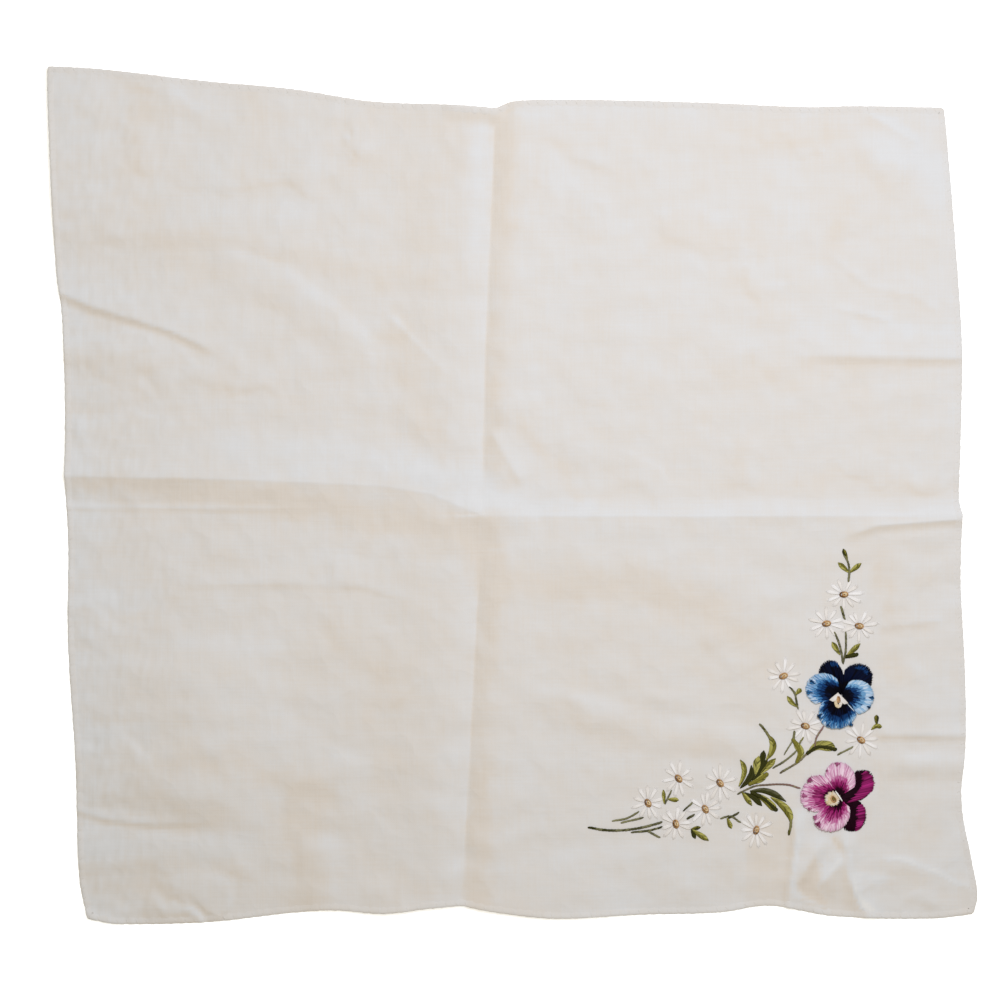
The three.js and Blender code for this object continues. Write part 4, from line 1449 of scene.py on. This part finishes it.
def leaf_swell(share, fullest):
    """How full a leaf is there, from 0 at its ends to 1 where it is fullest."""
    if share < fullest:
        return math.sin(math.pi * (share / fullest / 2)) ** FULL_BASE
    return math.sin(math.pi * (0.5 + (share - fullest) / (1 - fullest) / 2)) ** DRAWN_TIP


def leaf_stitches():
    pick = np.random.RandomState(42)
    stitches = []
    for leaf in LEAVES:
        points, direction = smooth_line(leaf.line, LEAF_SPACING)
        last = len(points) - 1
        for k in range(last + 1):
            swell = leaf_swell(k / last, leaf.fullest)
            sides = (1, leaf.left, leaf.left_thread), (-1, leaf.right, leaf.right_thread)
            for side, reach, thread in sides:
                aside = to_left(direction[k]) * side
                half = reach * swell + LEAF_TIP
                start = points[k] - direction[k] * half * LEAF_SLANT * 0.5 - aside * 0.1
                end = points[k] + direction[k] * half * LEAF_SLANT * 0.5 + aside * half
                shaded = pick.uniform(0, 1) < SHADED_STRANDS
                shade = (thread, "dark olive", SHADE_DEPTH if shaded else pick.uniform(0, 0.25))
                stitches.append(Stitch(start, end, STRAND_WIDTH, shade, lift=0.1, arch=0.2))
        if leaf.rib_thread:
            threads = (leaf.rib_thread, leaf.rib_thread)
            stitches += stem_stitch(leaf.line, threads, RIB_WIDTH, RIB_SPACING, 0, pick)
    return stitches


STRAND_STEPS, STRAND_SIDES = 6, 6
STRAND_UNEVENNESS = 0.12
STRAND_TAPER = 0.22  # the power by which a strand thins to its ends
END_GIRTH = 0.5  # of its full girth, that it keeps there
FLATNESS = 0.8  # its height for its width


def strand_tree():
    """Geometry Nodes: lays one rounded strand from each point along its run, then lifts and arches it."""
    tree = bpy.data.node_groups.new("strands", "GeometryNodeTree")
    sockets = tree.interface
    sockets.new_socket("Geometry", in_out="INPUT", socket_type="NodeSocketGeometry")
    for name, kind in (("Steps", "Int"), ("Sides", "Int"), ("Unevenness", "Float"), ("Seed", "Int")):
        sockets.new_socket(name, in_out="INPUT", socket_type="NodeSocket" + kind)
    sockets.new_socket("Thread", in_out="INPUT", socket_type="NodeSocketMaterial")
    sockets.new_socket("Geometry", in_out="OUTPUT", socket_type="NodeSocketGeometry")
    given = add(tree, "NodeGroupInput").outputs

    def named(name):
        return add(tree, "GeometryNodeInputNamedAttribute", {"data_type": "FLOAT", "Name": name}).outputs[0]

    def bow(share):
        """From 0 at a strand's ends to 1 at its middle."""
        return times(tree, times(tree, share, minus(tree, 1.0, share)), 4.0)

    share = add(tree, "GeometryNodeSplineParameter").outputs["Factor"]
    girth = math_node(tree, "MAXIMUM", math_node(tree, "POWER", bow(share), STRAND_TAPER), END_GIRTH)
    line = add(tree, "GeometryNodeCurvePrimitiveLine", Start=(0, 0, 0), End=(1, 0, 0))
    line = add(tree, "GeometryNodeResampleCurve", Curve=line.outputs[0], Count=given["Steps"])
    line = add(
        tree,
        "GeometryNodeStoreNamedAttribute",
        {"data_type": "FLOAT", "domain": "POINT", "Name": "strand_share"},
        Geometry=line.outputs[0],
        Value=share,
    )
    profile = add(tree, "GeometryNodeCurvePrimitiveCircle", Resolution=given["Sides"], Radius=0.5)
    strand = add(
        tree,
        "GeometryNodeCurveToMesh",
        {"Curve": line.outputs[0], "Profile Curve": profile.outputs[0], "Scale": girth, "Fill Caps": True},
    )
    least = minus(tree, 1.0, given["Unevenness"])
    most = plus(tree, 1.0, given["Unevenness"])
    uneven = add(
        tree, "FunctionNodeRandomValue", {"data_type": "FLOAT", 2: least, 3: most, "Seed": given["Seed"]}
    )
    width = times(tree, named("strand_width"), uneven.outputs[1])
    height = times(tree, width, FLATNESS)
    heading = add(tree, "ShaderNodeCombineXYZ", Z=named("strand_heading"))
    turned = add(tree, "FunctionNodeEulerToRotation", Euler=heading.outputs[0])
    size = add(tree, "ShaderNodeCombineXYZ", X=named("strand_length"), Y=width, Z=height)
    laid = add(
        tree,
        "GeometryNodeInstanceOnPoints",
        {
            "Points": given["Geometry"],
            "Instance": strand.outputs[0],
            "Rotation": turned.outputs[0],
            "Scale": size.outputs[0],
        },
    )
    real = add(tree, "GeometryNodeRealizeInstances", Geometry=laid.outputs[0])
    along = named("strand_share")
    climb = times(tree, along, named("strand_climb"))
    arch = times(tree, bow(along), named("strand_arch"))
    offset = add(tree, "ShaderNodeCombineXYZ", Z=plus(tree, climb, arch))
    moved = add(tree, "GeometryNodeSetPosition", Geometry=real.outputs[0], Offset=offset.outputs[0])
    smooth = add(tree, "GeometryNodeSetShadeSmooth", Geometry=moved.outputs[0])
    dressed = add(tree, "GeometryNodeSetMaterial", Geometry=smooth.outputs[0], Material=given["Thread"])
    add(tree, "NodeGroupOutput", Geometry=dressed.outputs[0])
    return tree


def stitched_piece(name, stitches, material, tree, seed):
    """The stitches as one plain mesh of strands."""
    start = np.array([s.start for s in stitches])
    end = np.array([s.end for s in stitches])
    lift = np.array([s.lift for s in stitches]) + LAWN_THICKNESS
    low, high = relief(*start.T), relief(*end.T)
    run = end - start
    values = {
        "strand_length": np.hypot(*run.T) * MM,
        "strand_heading": np.arctan2(run[:, 1], run[:, 0]),
        "strand_climb": (high - low) * MM,
        "strand_width": np.array([s.width for s in stitches]) * MM,
        "strand_arch": np.array([s.arch for s in stitches]) * MM,
    }
    mesh = bpy.data.meshes.new(name + "_points")
    mesh.from_pydata(placed(start[:, 0], start[:, 1], low + lift).tolist(), [], [])
    for key, value in values.items():
        store(mesh, key, value)
    colours = np.array([dye(s.colour) for s in stitches])
    mesh.attributes.new("thread_colour", "FLOAT_COLOR", "POINT").data.foreach_set("color", colours.ravel())
    points = new_object(name + "_points", mesh)
    modifier = points.modifiers.new("strands", "NODES")
    modifier.node_group = tree
    settings = {
        "Steps": STRAND_STEPS,
        "Sides": STRAND_SIDES,
        "Unevenness": STRAND_UNEVENNESS,
        "Seed": seed,
        "Thread": material,
    }
    for item in tree.interface.items_tree:
        if item.in_out == "INPUT" and item.name in settings:
            modifier[item.identifier] = settings[item.name]
    evaluated = points.evaluated_get(bpy.context.evaluated_depsgraph_get())
    plain = bpy.data.meshes.new_from_object(evaluated)
    plain.name = name
    bpy.data.objects.remove(points)
    for key in values:
        if key in plain.attributes:
            plain.attributes.remove(plain.attributes[key])
    return new_object(name, plain)


# ---------------------------------------------------------------- the camera, the lights and the floor

FLOOR_COLOUR = "#F6F6F6"
FLOOR_HALF = 1.5  # sizes of the stage are in metres
FLOOR_GLOW = 0.5
ROOM_COLOUR, ROOM_STRENGTH = (1.12, 1.0, 0.70, 1), 0.315
WINDOW_PLACE = (0.11, 0.17, 0.6)
WINDOW_SIZE = 0.25
WINDOW_COLOUR, WINDOW_POWER = (0.95, 1.0, 1.15), 2.93
SENSOR_WIDTH = 36  # in millimetres
CAMERA_HEIGHT = 1.3
VIEW_WIDTH = 0.330
VIEW_MIDDLE = (-4.0, -1.65)  # on the sheet, in millimetres


def lay_floor():
    material, _, shader = new_material("painted_board")
    shader.inputs["Base Color"].default_value = linear(FLOOR_COLOUR)
    shader.inputs["Roughness"].default_value = 0.8
    shader.inputs["Emission Color"].default_value = (1, 1, 1, 1)
    shader.inputs["Emission Strength"].default_value = FLOOR_GLOW
    corners = [(x * FLOOR_HALF, y * FLOOR_HALF, 0) for x, y in ((-1, -1), (1, -1), (1, 1), (-1, 1))]
    floor = new_piece("floor", corners, [(0, 1, 2, 3)], material, smooth=False)


def light_room():
    """Soft light all round, and a window above, behind and to the right."""
    world = bpy.data.worlds.new("studio")
    world.use_nodes = True
    background = world.node_tree.nodes["Background"]
    background.inputs["Color"].default_value = ROOM_COLOUR
    background.inputs["Strength"].default_value = ROOM_STRENGTH
    bpy.context.scene.world = world

    window = bpy.data.lights.new("softbox", "AREA")
    window.shape = "DISK"
    window.size = WINDOW_SIZE
    window.energy = WINDOW_POWER
    window.color = WINDOW_COLOUR
    hung = new_object("softbox", window)
    hung.location = WINDOW_PLACE
    hung.rotation_euler = (-hung.location).to_track_quat("-Z", "Y").to_euler()


def aim_camera():
    """Straight down over the middle of the view."""
    camera = bpy.data.cameras.new("camera")
    camera.sensor_width = SENSOR_WIDTH
    camera.lens = SENSOR_WIDTH * CAMERA_HEIGHT / VIEW_WIDTH
    hung = new_object("camera", camera)
    x, y, _ = placed(np.array([VIEW_MIDDLE[0]]), np.array([VIEW_MIDDLE[1]]), np.array([0.0]))[0]
    hung.location = (x, y, CAMERA_HEIGHT)
    bpy.context.scene.camera = hung


bpy.context.scene.view_settings.view_transform = "Standard"
lay_floor()
light_room()
aim_camera()

cloth_material = cotton_lawn()
thread_material = mercerised_cotton()
strands = strand_tree()

lawn = make_lawn(cloth_material)
hem = make_hem(cloth_material)
worked = {
    "whip_stitches": whip_stitches(),
    "leaves_and_stems": stem_stitches() + leaf_stitches(),
    "daisies": daisy_stitches(),
    "blue_pansy": blue_pansy(),
    "magenta_pansy": magenta_pansy(),
}
stitched = [
    stitched_piece(name, stitches, thread_material, strands, seed)
    for seed, (name, stitches) in enumerate(worked.items())
]
for piece in [lawn, hem, *stitched]:
    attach(piece, "root")
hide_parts("handkerchief")
